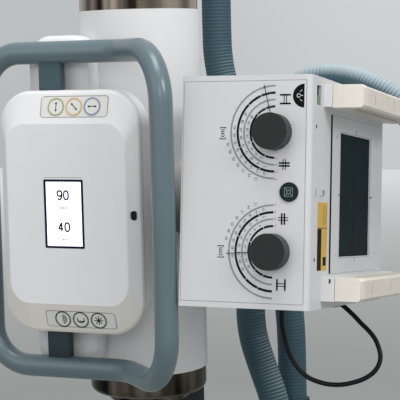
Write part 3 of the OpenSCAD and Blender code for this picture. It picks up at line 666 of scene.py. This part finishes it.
def even_line(line: Sequence[Vector], step: float) -> list[Vector]:
    """Resamples a line at an even step.

    Args:
        line: The line.
        step: The wanted step.

    Returns:
        The new points, with both ends kept.
    """
    total = run_length(line)
    count = max(2, round(total / step))
    out, i, done = [line[0]], 0, 0.0
    for k in range(1, count):
        target = total * k / count
        while done + (line[i + 1] - line[i]).length < target:
            done += (line[i + 1] - line[i]).length
            i += 1
        span = (line[i + 1] - line[i]).length
        out.append(line[i].lerp(line[i + 1], (target - done) / span))
    return out + [line[-1]]


# ---------------------------------------------------------------- the part


@dataclass
class Layout:
    """Places and turns that the sub-assemblies share, in millimetres from the tube axis and the beam axis."""

    joints: Sequence[dict]
    focus_back: float = 190.0

    @property
    def head(self) -> Matrix:
        """The frame at the crossing of tube axis and beam axis."""
        return Matrix.Translation((0, -self.focus_back * MM, 0))

    @property
    def collimator(self) -> Matrix:
        """The same point, turned with the collimator about the beam."""
        axis = next(j["axis"] for j in self.joints if j["name"] == "blade_top_slide")
        return self.head @ Matrix.Rotation(-math.atan2(axis[1], axis[2]), 4, "X")

    @staticmethod
    def facing_front(x: float, y: float, z: float) -> Matrix:
        """A drawing plane whose x runs right, y runs up and normal faces the front."""
        return Matrix.Translation((x * MM, y * MM, z * MM)) @ Matrix.Rotation(math.radians(90), 4, "X")

    @staticmethod
    def facing_beam(x: float, y: float, z: float) -> Matrix:
        """A drawing plane whose x runs to the back, y runs up and normal follows the beam."""
        turn = Matrix(((0, 0, 1, 0), (1, 0, 0, 0), (0, 1, 0, 0), (0, 0, 0, 1)))
        return Matrix.Translation((x * MM, y * MM, z * MM)) @ turn


@dataclass
class Handle:
    """The bent steel handle: one closed, smooth tube that steps forward on its right side."""

    layout: Layout
    tube_d: float = 28.0
    left: float = 164.0
    right: float = 112.0
    top: float = 186.6
    bottom: float = 209.5
    depth: float = 116.6
    loop_r: float = 50.0
    jog: float = 82.0
    jog_run: float = 89.0
    jog_r: float = 50.0
    corner_r: float = 62.0
    sides: int = 48

    def line(self) -> list[Vector]:
        """The centre line, closed on itself.

        Returns:
            Its points in millimetres, each once.
        """
        ex, ey, ez = Vector((1, 0, 0)), Vector((0, 1, 0)), Vector((0, 0, 1))
        a = math.atan2(self.jog, self.jog_run)
        d = Vector((math.cos(a), -math.sin(a), 0))
        step_x = self.right - self.jog_run - self.jog_r * math.tan(a / 2)
        deg = math.degrees(a)
        upper = Vector((self.right, -self.depth - self.jog, self.top))
        lower = Vector((self.right, -self.depth - self.jog, -self.bottom))
        inner_x = self.loop_r - self.left
        turns = (
            (Vector((inner_x, -self.depth, self.top - self.loop_r)), ex, ez, self.loop_r, 180, 90, 22),
            (Vector((step_x, -self.depth - self.jog_r, self.top)), ex, ey, self.jog_r, 90, 90 - deg, 12),
            (upper - self.corner_r * (d + ez), d, ez, self.corner_r, 90, 0, 24),
            (lower - self.corner_r * (d - ez), d, ez, self.corner_r, 0, -90, 24),
            (Vector((step_x, -self.depth - self.jog_r, -self.bottom)), ex, ey, self.jog_r, 90 - deg, 90, 12),
            (Vector((inner_x, -self.depth, self.loop_r - self.bottom)), ex, ez, self.loop_r, -90, -180, 22),
        )
        points = []
        for centre, u, v, radius, start, end, steps in turns:
            for k in range(steps + 1):
                t = math.radians(start + (end - start) * k / steps)
                points.append(centre + radius * (math.cos(t) * u + math.sin(t) * v))
        return points

    def build(self) -> None:
        """Builds the tube in place of the faceted one."""
        line = self.line()
        n = len(line)
        verts: list[Vector] = []
        for i, p in enumerate(line):
            ahead = (line[(i + 1) % n] - line[i - 1]).normalized()
            u = ahead.cross(Vector((0, 1, 0))).normalized()
            verts += section(p, u, ahead.cross(u), self.tube_d / 2, self.sides, self.layout.head)
        obj = shade(make_mesh("bent_handle", verts, skin(n, self.sides, closed=True), Finishes.handle), 60)
        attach(obj, Body.HEAD.value)
        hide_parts("handle_loop")
        LOG.info("handle: %d rings", n)


@dataclass
class Hoses:
    """The two ribbed supply hoses and the black lead."""

    layout: Layout
    hose_d: float = 42.0
    rib_pitch: float = 4.8
    rib_depth: float = 0.55
    lead_d: float = 6.0
    upper: Sequence[Point] = (
        (28, 211, 282), (28, 211, 250), (28, 211, 214), (29, 211, 180), (35, 211, 144),
        (47, 211, 108), (63, 211, 74), (77, 211, 40), (86, 211, 4), (89, 211, -34),
        (87, 211, -74), (81, 211, -114), (74, 211, -152), (70, 211, -190), (74, 211, -228),
        (86, 210, -266), (100, 207, -302), (108, 205, -330),
    )  # fmt: skip
    lower: Sequence[Point] = (
        (114, 264, -326), (114, 264, -292), (114, 264, -256), (113, 264, -218), (110, 264, -180),
        (105, 264, -142), (99, 264, -104), (93, 264, -66), (88, 264, -28), (86, 264, 10),
        (88, 264, 48), (97, 264, 84), (114, 264, 114), (140, 264, 135), (172, 264, 143),
        (206, 264, 140), (240, 264, 128), (272, 264, 110), (300, 264, 84), (322, 264, 52),
        (334, 264, 14), (338, 264, -26),
    )  # fmt: skip
    lead: Sequence[Point] = (
        (247, 62, -5), (250, 62, -5), (254, 62, -6), (261, 61, -11), (271, 59, -19),
        (281, 57, -28), (291, 54, -36), (300, 51, -45), (306, 48, -55), (310, 45, -67),
        (309, 41, -78), (303, 37, -88), (292, 33, -96), (279, 29, -101), (265, 25, -104),
        (250, 21, -104), (237, 17, -101), (225, 14, -96), (214, 12, -87), (205, 11, -75),
        (198, 10, -60), (193, 10, -43), (190, 10, -28), (190, 10, -14),
    )  # fmt: skip
    lead_base: float = -132.5

    def rib(self, run: float) -> float:
        """Radius of a hose at a run length: a rounded rib every pitch."""
        wave = 0.5 + 0.5 * math.cos(2 * math.pi * run / self.rib_pitch)
        return self.hose_d / 2 - self.rib_depth * (1 - wave**0.6)

    def build(self) -> None:
        head = self.layout.head
        for side, points, steps in (("upper", self.upper, 3), ("lower", self.lower, 2)):
            line = even_line(smooth_line(points, steps), self.rib_pitch / 5)
            obj = tube(f"ribbed_hose_{side}", line, self.rib, 28, Finishes.hose, head)
            self._declare(obj, f"hose_{side}", line, Body.HEAD)
        line = even_line(smooth_line(self.lead, 6), 2.5)
        under = self.layout.collimator @ Matrix.Translation((0, 0, self.lead_base * MM))
        obj = tube("lead_loop", line, lambda run: self.lead_d / 2, 20, Finishes.lead, under)
        self._declare(obj, "lead", line, Body.COLLIMATOR)

    def _declare(
        self, obj: Obj, node: str, line: Sequence[Vector],
        body: Body,
    ) -> None:  # fmt: skip
        """Rides and replaces one cord, and logs its length.

        Args:
            obj: The tube.
            node: The plain solid it stands for.
            line: Its centre line in millimetres.
            body: The body it rides on.
        """
        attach(obj, body.value)
        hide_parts(node)
        LOG.info("%s: %.3f m", node, run_length(line) * MM)


@dataclass
class Dial:
    """One half-circle scale on the front panel."""

    sheet: Sheet
    centre: Flat
    tag: str
    # Radius and width of each printed arc, from the outside in.
    arcs: ClassVar = ((52.5, 2.0), (44.5, 2.7), (36.8, 1.9), (29.0, 2.5))
    notches: ClassVar = (1, 2, 5, 7)
    # Radius and steps of each row of ticks.
    ticks: ClassVar = ((54.6, 18), (46.9, 18), (38.9, 18), (31.4, 12))
    # Radius, first and last angle from the foot's level, numbers and letter height of each row.
    rows: ClassVar = (
        (57.6, 14, 68, "35 30 25 20 17 14 12", 3.1),
        (48.4, -6, 76, "43 40 35 30 26 22 18 14 10", 3.0),
        (40.6, -30, 74, "35 28 24 20 16 13 10 8 5", 2.9),
        (33.0, -32, 62, "30 24 18 14 10 8 6 3", 2.8),
    )
    zero_radii: ClassVar = (53.4, 45.2, 37.4, 29.6)

    @property
    def foot(self) -> int:
        """The scale's zero end: 1 where it is at the bottom, -1 where it is at the top."""
        return 1 if self.centre[1] > 0 else -1

    def _radial(self, angle: float, radius: float, half: float) -> list[Flat]:
        """A short line across a scale, half its length each way from a radius."""
        return [polar(self.centre, r, angle) for r in (radius - half, radius + half)]

    def build(self) -> None:
        """Prints the arcs, ticks, numbers and the unit."""
        sheet, tag, centre = self.sheet, self.tag, self.centre
        for i, (radius, width) in enumerate(self.arcs):
            tone = Finishes.ink_blue if i % 2 else Finishes.ink_grey
            sheet.stroke(f"{tag}_arc_{i}", arc(centre, radius, 90, 270), width, tone)
        over = sheet.above(sheet.name, sheet.proud, 0.05)
        for i in (1, 3):
            for k in self.notches:
                line = self._radial(180 + self.foot * (22.5 * k - 90), self.arcs[i][0], 1.3)
                over.stroke(f"{tag}_notch_{i}_{k}", line, 0.45, Finishes.ink_white)
        for i, (radius, count) in enumerate(self.ticks):
            for k in range(1, count):
                line = self._radial(90 + 180 * k / count, radius, 0.7)
                sheet.stroke(f"{tag}_tick_{i}_{k}", line, 0.4, Finishes.ink_grey)
        for row, (radius, first, last, labels, size) in enumerate(self.rows):
            numbers = labels.split()
            for k, label in enumerate(numbers):
                angle = 180 + self.foot * (first + (last - first) * k / (len(numbers) - 1))
                sheet.word(f"{tag}_num_{row}_{k}", label, polar(centre, radius, angle), size, Finishes.ink_black)
        for k, radius in enumerate(self.zero_radii):
            angle = 180 + self.foot * (90 + math.degrees(2.4 / radius))
            sheet.word(f"{tag}_end_{k}", "0", polar(centre, radius, angle), 3.0, Finishes.ink_red)
        unit_at = (centre[0] - 63.0, centre[1] - 1)
        sheet.word(f"{tag}_unit", "[cm]", unit_at, 5.8, Finishes.ink_black, bold=0.08)


@dataclass
class CollimatorFace:
    """Prints and marks on the collimator: dials, symbols, button mark, half disc and exit-face label."""

    layout: Layout
    front_x: float = 208.0
    panel_y: float = -189.2
    cursor_y: float = -190.7
    button_x: float = 261.0
    button_y: float = -191.0
    rail_x: float = 332.0
    rail_front: float = -140.0
    rail_high: float = 25.5
    exit_x: float = 286.0
    dial_x: float = 35.0
    dial_z: float = 67.5

    def _front(self, name: str, x: float, y: float, z: float, proud: float, body: Body = Body.COLLIMATOR) -> Sheet:
        """A sheet that faces the front at a place in millimetres."""
        return Sheet(name, body, self.layout.collimator @ Layout.facing_front(x, y, z), proud)

    def _exit(self, name: str, x: float, proud: float) -> Sheet:
        """A sheet that faces along the beam at a distance in millimetres."""
        return Sheet(name, Body.COLLIMATOR, self.layout.collimator @ Layout.facing_beam(x, 0, 0), proud)

    def build(self) -> None:
        """Draws every print on the front panel and the exit face."""
        front = self._front("panel", self.front_x, self.panel_y, 0, 0.12)
        for sign, tag in ((1, "upper_dial"), (-1, "lower_dial")):
            Dial(front, (self.dial_x, sign * self.dial_z), tag).build()
        self._symbols(front)
        self._half_disc(front)
        self._button()
        self._hairlines()
        self._exit_marks()
        LOG.info("collimator prints done")

    def _symbols(self, sheet: Sheet) -> None:
        """Four crossed-line symbols that tell which blades a dial moves."""
        # Centre x and y, how far the thick bars stand apart, and whether they lie level.
        marks = (
            (46.7, 104.5, 4.9, True), (46.8, 31.0, 1.6, True), (46.6, -30.3, 1.6, False), (45.5, -104.4, 4.7, False),
        )  # fmt: skip
        for i, (x, z, spread, level) in enumerate(marks):
            for s in (-1, 1):
                thick = [(-6.5, s * spread), (6.5, s * spread)]
                thin = [(s * 1.4, -6.0), (s * 1.4, 6.0)]
                for part, points, width in (("a", thick, 1.9), ("b", thin, 1.0)):
                    line = [(x + a, z + b) if level else (x + b, z + a) for a, b in points]
                    sheet.stroke(f"symbol_{i}_{s}_{part}", line, width, Finishes.ink_black)

    def _half_disc(self, sheet: Sheet) -> None:
        """The black half disc at the panel's right edge with a small lamp mark."""
        sheet.solid("half_disc", arc((69.1, 108.2), 13.4, 90, 270, 40), Finishes.ink_black)
        mark, white = sheet.above("mark", 0.12, 0.06), Finishes.ink_white
        x, y = lamp = (62.5, 108.4)
        mark.stroke("ring", arc(lamp, 2.0, 0, 330, 20), 0.6, white)
        mark.stroke("stem", [(x + 2.2, y), (x + 5.0, y)], 0.6, white)
        for s in (-1, 1):
            mark.stroke(f"ray_{s}", [(x + 1.4, y + 4.2 * s), (x + 4.0, y + 6.4 * s)], 0.5, white)

    def _button(self) -> None:
        """The pale field symbol on the dark round light button."""
        lid = self._front("light", self.button_x, self.button_y, 0, 0.15, Body.LIGHT_BUTTON)
        lid.stroke("square", rectangle(0, 0, 9.6, 9.6), 0.6, Finishes.ink_pale, closed=True)
        lid.stroke("circle", arc(ORIGIN, 2.2, 0, 352, 24), 0.6, Finishes.ink_pale, closed=True)
        for a in range(45, 360, 90):
            lid.stroke(f"ray_{a}", [polar(ORIGIN, r, a) for r in (2.6, 5.6)], 0.5, Finishes.ink_pale)

    def _hairlines(self) -> None:
        """The dark hairline on each clear pointer, at the angle it has at rest."""
        for body, z, angle in ((Body.UPPER_KNOB, self.dial_z, 104.0), (Body.LOWER_KNOB, -self.dial_z, 183.0)):
            sheet = self._front(f"hair_{body.value}", self.front_x + self.dial_x, self.cursor_y, z, 0.1, body)
            sheet.stroke("line", [polar(ORIGIN, r, angle) for r in (21.5, 55.5)], 0.8, Finishes.ink_black)
            cross = [polar(ORIGIN, 52.5, angle + turn) for turn in (-2.2, 2.2)]
            sheet.stroke("cross", cross, 0.5, Finishes.ink_black)

    def _exit_marks(self) -> None:
        """The yellow two-field label, the crosshair on the window, small marks and painted shade in the gap and
        recesses.
        """
        black, dark, yellow = Finishes.ink_black, Finishes.ink_dark_grey, Finishes.ink_yellow
        face = self._exit("exit", self.exit_x, 0.15)
        face.solid("label_upper", rectangle(-140.5, -25.0, 39.0, 29.0), yellow)
        face.solid("label_lower", rectangle(-140.5, -64.5, 39.0, 48.0), yellow)
        ink_over = face.above("exit_ink", face.proud, 0.06)
        ink_over.solid("label_band", rectangle(-152.0, -64.5, 15.6, 47.6), black)
        ink_over.solid("label_block", rectangle(-131.0, -78.0, 12.0, 10.0), black)
        ink_over.stroke("label_line", [(-160, -39.9), (-121, -39.9)], 0.8, dark)
        for k, y in enumerate((-126.0, -132.0, -138.0)):
            ink_over.stroke(f"label_row_{k}", [(y, -14.0), (y, -36.0)], 0.7, dark)
        glass = face.above("glass", -2.3, 0.1)
        glass.stroke("cross_depth", [(-69.5, 0), (69.5, 0)], 1.9, black)
        glass.stroke("cross_height", [(0, -73.5), (0, 73.5)], 1.5, black)
        face.stroke("gap_shadow", [(-108.4, -92.6), (-108.4, 92.6)], 7.0, Finishes.seal_and_gap_shade, proud=0.05)
        face.stroke("bezel", rectangle(0, 0, 143.0, 151.0), 0.9, Finishes.ink_grey, closed=True, proud=0.05)
        face.stroke("cross_overrun", [(70.4, 0), (79.0, 0)], 1.9, black, proud=0.1)
        for s in (-1, 1):
            face.stroke(f"tick_top_{s}", [(0, s * 76.4), (0, s * 81.0)], 1.4, dark, proud=0.1)
        face.stroke("tick_front", [(-76.0, 0), (-72.6, 0)], 1.6, dark, proud=0.1)
        face.stroke("switch_mark", [(-168.0, 5.0), (-168.0, -5.0)], 1.0, black)
        for k, z in enumerate((74.8, -75.8)):
            face.solid(f"small_hole_{k}", arc((-170.0, z), 2.2, 0, 350, 20), black, proud=0.05)
        # A black rim round the recess: painted shade along its edges.
        face.stroke("recess_rim", rectangle(-162.0, 111.0, 15.8, 21.8), 0.8, Finishes.seal_and_gap_shade, closed=True, proud=0.08)
        # Black sheets on the floors of the switch recess and the rail slot: painted shade inside them.
        face.above("switch", -2.19, 0.1).solid("floor", rectangle(-143.0, 0.0, 21.8, 6.8), black)
        self._front("rail_slot", 296.25, -139.0, -100.5, 0.1).solid("floor", rectangle(0, 0, 2.4, 4.8), black)
        side = self._exit("rail_mark", self.rail_x, 0.08)
        for z, places in ((111.7, (-126.0, -86.0, 3.0)), (-109.7, (-86.0, 3.0))):
            for k, y in enumerate(places):
                side.stroke(f"line_{int(z)}_{k}", [(y, z - 6.0), (y, z + 6.0)], 1.0, Finishes.ink_brown)
        for tag, near, base in (("upper", 296.0, 99.0), ("lower", 302.0, -122.5)):
            self._tape(tag, near, base)

    def _tape(self, tag: str, near: float, base: float) -> None:
        """A cloth tape sleeve round one rail's front end, with a wavy back edge.

        Args:
            tag: Which rail.
            near: The rail's side next to its base, in millimetres.
            base: The rail's underside in millimetres.
        """
        thick, chamfer, steps = 0.5, 2.5, 6
        left, edge, right = near + 0.2, self.rail_x - chamfer, self.rail_x + thick
        top = base + self.rail_high
        corners = [
            (left, base - thick), (edge, base - thick), (right, base + chamfer),
            (right, top - chamfer), (edge, top + thick), (left, top + thick),
        ]  # fmt: skip
        shares = [(a, b, k / steps) for a, b in zip(corners, corners[1:]) for k in range(steps)]
        ring = [(a[0] + (b[0] - a[0]) * t, a[1] + (b[1] - a[1]) * t) for a, b, t in shares] + corners[-1:]
        # From the front cap along the sleeve to its back edge, and then down to the rail's face.
        runs = (0.0, 0.35, 0.7, 1.0, 1.0)
        verts = []
        for j, run in enumerate(runs):
            for k, (x, z) in enumerate(ring):
                depth = 20.0 + 1.6 * math.sin(1.3 * k + base) + 1.0 * math.sin(2.9 * k)
                crease = 0.18 * math.sin(2.1 * k + 3.0 * (j + 1)) if 0 < j < 3 else 0.0
                sunk = thick - 0.05 if j == len(runs) - 1 else 0.0
                x -= sunk * (x > self.rail_x)
                z += sunk * ((z < base) - (z > top))
                place = Vector((x + crease, self.rail_front - 0.45 + depth * run, z + crease * 0.6))
                verts.append(self.layout.collimator @ (place * MM))
        faces = [[f[0], *f[:0:-1]] for f in skin(len(runs), len(ring))]
        obj = shade(make_mesh(f"rail_tape_{tag}", verts, faces, Finishes.tape), 40)
        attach(obj, Body.COLLIMATOR.value)


@dataclass
class ConsoleFace:
    """Prints on the console: the display's digits and the symbols of the six keys."""

    layout: Layout
    console: Point = (-36.0, -154.5, -10.0)
    display: Flat = (-3.0, -0.6)
    display_size: Flat = (53.5, 84.3)
    display_depth: float = 0.55
    key_x: float = 12.6
    key_pitch: float = 24.4
    rim: float = 146.0
    rim_drop: float = 8.0

    def build(self) -> None:
        """Draws the display and the keys."""
        self._display()
        self._keys()
        LOG.info("console prints done")

    def _display(self) -> None:
        """A white lit screen with a navy border, two readings and a divider."""
        x, y, z = self.console
        w, h = self.display_size
        place = self.layout.head @ Layout.facing_front(x + self.display[0], y, z + self.display[1])
        lip = Sheet("display_lip", Body.HEAD, place, 0.06)
        screen = lip.above("display", -self.display_depth, 0.1)
        screen.solid("glow", rectangle(0, 0, w - 5.2, h - 5.0, 0.6), Finishes.screen)
        screen.stroke("border", rectangle(0, 0, w - 2.6, h - 2.6), 2.5, Finishes.screen_edge, closed=True, proud=0.16)
        screen.stroke("leak", rectangle(0, 0, w - 5.6, h - 5.6), 0.5, Finishes.screen_leak, closed=True, proud=0.14)
        lip.stroke("line", [(1 - w / 2, h / 2 + 2.6), (w / 2 - 1, h / 2 + 2.6)], 0.5, Finishes.ink_grey)
        reading = screen.above("reading", screen.proud, 0.08)
        for text, cx, cy in (("90", -1.0, 23.2), ("40", -0.6, -16.0)):
            for k, char in enumerate(text):
                for j, (points, closed) in enumerate(glyph(char, cx + 8.7 * (k - 0.5), cy, 6.0, 10.4)):
                    reading.stroke(f"digit_{text}_{k}_{j}", points, 2.1, Finishes.ink_blue, closed=closed)
        reading.stroke("divider", [(4 - w / 2, 1.0), (w / 2 - 4, 1.0)], 0.5, Finishes.ink_grey)
        pitch = 2.4
        for k, (cx, cy, length) in enumerate(((0.0, 7.6, 13.0), (1.0, -31.5, 8.0))):
            for j in range(int(length / pitch)):
                bar = rectangle(cx - length / 2 + pitch * j + 1.0, cy, 1.4, 2.8)
                reading.solid(f"unit_{k}_{j}", bar, Finishes.ink_grey)

    def _keys(self) -> None:
        """Rings and symbols on the six keys, and an outline on both key plates."""
        coloured = (Finishes.ink_green, Finishes.ink_orange, Finishes.ink_sky)
        rows = (
            ("top", 1, 112.0, 9.25, (91.0, 27.0), coloured),
            ("low", -1, 115.0, 8.9, (95.0, 22.0), (Finishes.ink_dark_grey,) * 3),
        )
        x, y, z = self.console
        for row, sign, face, radius, (w, h), inks in rows:
            slope = self.rim_drop / (self.rim - face)
            height = (face + self.rim) / 2 + 1
            middle = Vector((x + self.key_x, y + 2.5 + (height - face) * slope, z + sign * height))
            turn = Matrix.Rotation(-sign * math.atan(slope), 4, "X")
            plane = self.layout.head @ Matrix.Translation(middle * MM) @ turn
            for k in (-1, 0, 1):
                place = plane @ Layout.facing_front(k * self.key_pitch, -1.2, 0)
                key = Sheet(f"key_{row}_{k + 2}", Body(f"{row}_key_{k + 2}"), place)
                ring = key.above(f"rim_{row}_{k + 2}", 0.45, 0.08, Body.HEAD)
                ring.stroke("ring", arc(ORIGIN, radius + 0.95, 0, 351, 40), 1.35, inks[k + 1], closed=True)
                self._symbol(key, row, k, radius)
            plate = Sheet(f"plate_{row}", Body.HEAD, plane @ Layout.facing_front(0, -0.8, 0), 0.05)
            plate.stroke("outline", rectangle(0, 0, w - 1.2, h - 1.2, 4.2), 0.7, Finishes.ink_brown, closed=True)

    def _symbol(self, sheet: Sheet, row: str, k: int, radius: float) -> None:
        """The symbol inside one key's ring.

        Args:
            sheet: The key's drawing plane.
            row: Which row the key is in.
            k: The key's place from the middle one.
            radius: The ring's radius in millimetres.
        """
        dark = Finishes.ink_dark_grey
        if row == "top":
            angle, reach, wing = (90, 135, 180)[k + 1], radius * 0.62, 2.6
            sheet.stroke("shaft", [polar(ORIGIN, r, angle) for r in (-reach, reach)], 1.0, dark)
            for s in (-1, 1):
                tip = polar(ORIGIN, s * reach, angle)
                for b in (-1, 1):
                    sheet.stroke(f"wing_{s}_{b}", [tip, polar(tip, -s * wing, angle + 28 * b)], 0.7, dark)
        elif k == -1:
            for j, r in enumerate((2.0, 4.2, 6.2)):
                sheet.stroke(f"wave_{j}", arc((-1.6, 0), r, -75, 75, 12), 1.1, dark)
        elif k == 0:
            sheet.stroke("turn", arc((0, 0.4), 4.4, 150, 390, 16), 1.2, dark)
            sheet.stroke("base", [(-5.4, -2.0), (5.4, -2.0)], 1.2, dark)
        else:
            for j in range(4):
                sheet.stroke(f"spoke_{j}", [polar(ORIGIN, r, 45 * j) for r in (-6.0, 6.0)], 1.1, dark)


@dataclass
class Dresser:
    """Gives every carried-over node its finish."""

    nodes: dict[str, Obj]
    table: ClassVar[dict[str, str]] = {
        "shroud": "shroud arm console_carrier rail_base_upper rail_base_lower hv_well_upper hv_well_lower",
        "housing": "collimator_housing front_panel window_frame swivel_ring line_switch frame_screws",
        "neck": "port_neck port_plate",
        "console": "console_front",
        "console_back": "console_rear",
        "handle": "handle_loop",
        "strap": "handle_strap",
        "polished": "cap_top tube_tank",
        "polished_low": "cap_bottom",
        "machined": "mount_flange hose_end_upper hose_end_lower mirror_bracket blade_carrier",
        "rail": "rail_upper rail_lower",
        "knob": "knob_upper knob_lower",
        "clear": "cursor_upper cursor_lower",
        "window": "window",
        "film": "key_plate_top key_plate_bottom key_top_1 key_top_2 key_top_3 key_low_1 key_low_2 key_low_3",
        "screen_edge": "display",
        "black": "console_port",
        "felt": "tape_mouth",
        "seal_and_gap_shade": "frame_seal",
        "rubber": "hv_plug_upper hv_plug_lower lead_glands",
        "hose": "hose_upper hose_lower",
        "lead": "lead",
        "blade": "blade_top blade_bottom blade_front blade_back",
        "mirror": "mirror_plate",
        "lamp": "lamp",
        "button": "light_button",
    }

    def build(self) -> None:
        """Assigns the finishes and reports nodes without one."""
        done: set[str] = set()
        for finish, names in self.table.items():
            material = getattr(Finishes, finish).build()
            for name in names.split():
                obj = self.nodes[name]
                if not obj.material_slots:
                    obj.data.materials.append(material)
                for slot in obj.material_slots:
                    slot.material = material
                done.add(name)
        for name in sorted(set(self.nodes) - done):
            LOG.warning("no finish for %s", name)


@dataclass(frozen=True)
class Studio:
    """Camera, light and floor."""

    camera_at: Point = (0.7563, -1.9020, 0.1702)
    yaw: float = 21.58
    pitch: float = 5.50
    roll: float = -1.42
    lens: float = 128.88
    floor_z: float = -0.62
    floor_half: float = 8.0
    # Name, place and aim in metres, side in metres and power in watts of each soft panel.
    panels: ClassVar = (
        ("ceiling_panel", (0.5, -0.9, 2.4), (0.05, -0.25, 0.0), 1.3, 36),
        ("side_panel", (2.5, -1.3, 1.5), (0.2, -0.2, 0.0), 0.8, 26),
        ("front_fill", (-1.2, -2.6, 0.9), (0.0, -0.3, 0.0), 1.8, 8),
        ("camera_side_panel", (1.15, -2.9, 1.0), (0.0, -0.3, 0.0), 0.7, 9),
    )

    def build(self) -> None:
        """Builds the studio."""
        self._camera()
        self._lights()
        self._floor()

    def _camera(self) -> None:
        """The camera at the photograph's place and angles."""
        data = bpy.data.cameras.new("camera")
        data.lens = self.lens
        data.sensor_width = 36.0
        data.clip_end = 30
        camera = bpy.data.objects.new("camera", data)
        bpy.context.scene.collection.objects.link(camera)
        angles = ((self.roll, "Z"), (self.pitch, "X"), (self.yaw, "Y"))
        roll, pitch, yaw = (Matrix.Rotation(math.radians(angle), 3, axis) for angle, axis in angles)
        # From the row frame to an image frame with x right, y down and z ahead, and from that to the camera's own.
        base = Matrix(((1, 0, 0), (0, 0, -1), (0, 1, 0)))
        view = Matrix(((1, 0, 0), (0, -1, 0), (0, 0, -1))) @ roll @ pitch @ yaw @ base
        camera.matrix_world = Matrix.Translation(self.camera_at) @ view.transposed().to_4x4()
        bpy.context.scene.camera = camera

    def _area(self, name: str, at: Point, aim: Point, size: float, power: float) -> None:
        """One soft white area light.

        Args:
            name: Its name.
            at: Its place in metres.
            aim: The point it faces.
            size: Its side in metres.
            power: Its power in watts.
        """
        data = bpy.data.lights.new(name, "AREA")
        data.size = size
        data.energy = power
        lamp = bpy.data.objects.new(name, data)
        lamp.location = at
        lamp.rotation_euler = (Vector(aim) - Vector(at)).to_track_quat("-Z", "Y").to_euler()
        bpy.context.scene.collection.objects.link(lamp)

    def _lights(self) -> None:
        """Ceiling panels and a pale room."""
        for panel in self.panels:
            self._area(*panel)
        world = bpy.data.worlds.new("room")
        bpy.context.scene.world = world
        world.use_nodes = True
        tree = world.node_tree
        tree.nodes.clear()
        coords = add_node(tree, "ShaderNodeTexCoord")
        split = add_node(tree, "ShaderNodeSeparateXYZ", {"Vector": coords.outputs["Generated"]})
        ramp = add_node(tree, "ShaderNodeValToRGB", {"Fac": remap(tree, split.outputs["Z"], (-0.5, 0.7))})
        stops = ramp.color_ramp.elements
        stops[0].color, stops[1].color = srgb("7A7C7E"), srgb("EDEEEF")
        for place, tone in ((0.38, "CBCED0"), (0.5, "D6D9DB")):
            stops.new(place).color = srgb(tone)
        # A lit wall stands behind the collimator, so that side of the room is a little brighter.
        wall = remap(tree, split.outputs["X"], (-0.44, -0.24), (0.8, 0.97), "SMOOTHSTEP")
        fade = remap(tree, split.outputs["X"], (-0.1, 0.15), (0.0, 0.17), "SMOOTHSTEP")
        power = add_node(tree, "ShaderNodeMath", {0: wall, 1: fade}, operation="SUBTRACT")
        back = add_node(tree, "ShaderNodeBackground", {"Color": ramp.outputs[0], "Strength": power.outputs[0]})
        add_node(tree, "ShaderNodeOutputWorld", {"Surface": back.outputs[0]})
        bpy.context.scene.view_settings.view_transform = "Standard"

    def _floor(self) -> None:
        """A plain pale floor."""
        s, z = self.floor_half, self.floor_z
        floor = make_mesh("floor", [(-s, -s, z), (s, -s, z), (s, s, z), (-s, s, z)], [(0, 1, 2, 3)], Finishes.floor)


def main() -> None:
    """Builds the scene in order."""
    logging.basicConfig(level=logging.INFO, format="%(message)s")
    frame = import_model()
    layout = Layout(frame["joints"])
    Studio().build()
    Handle(layout).build()
    Hoses(layout).build()
    Dresser(frame["nodes"]).build()
    CollimatorFace(layout).build()
    ConsoleFace(layout).build()


if __name__ == "__main__":
    main()
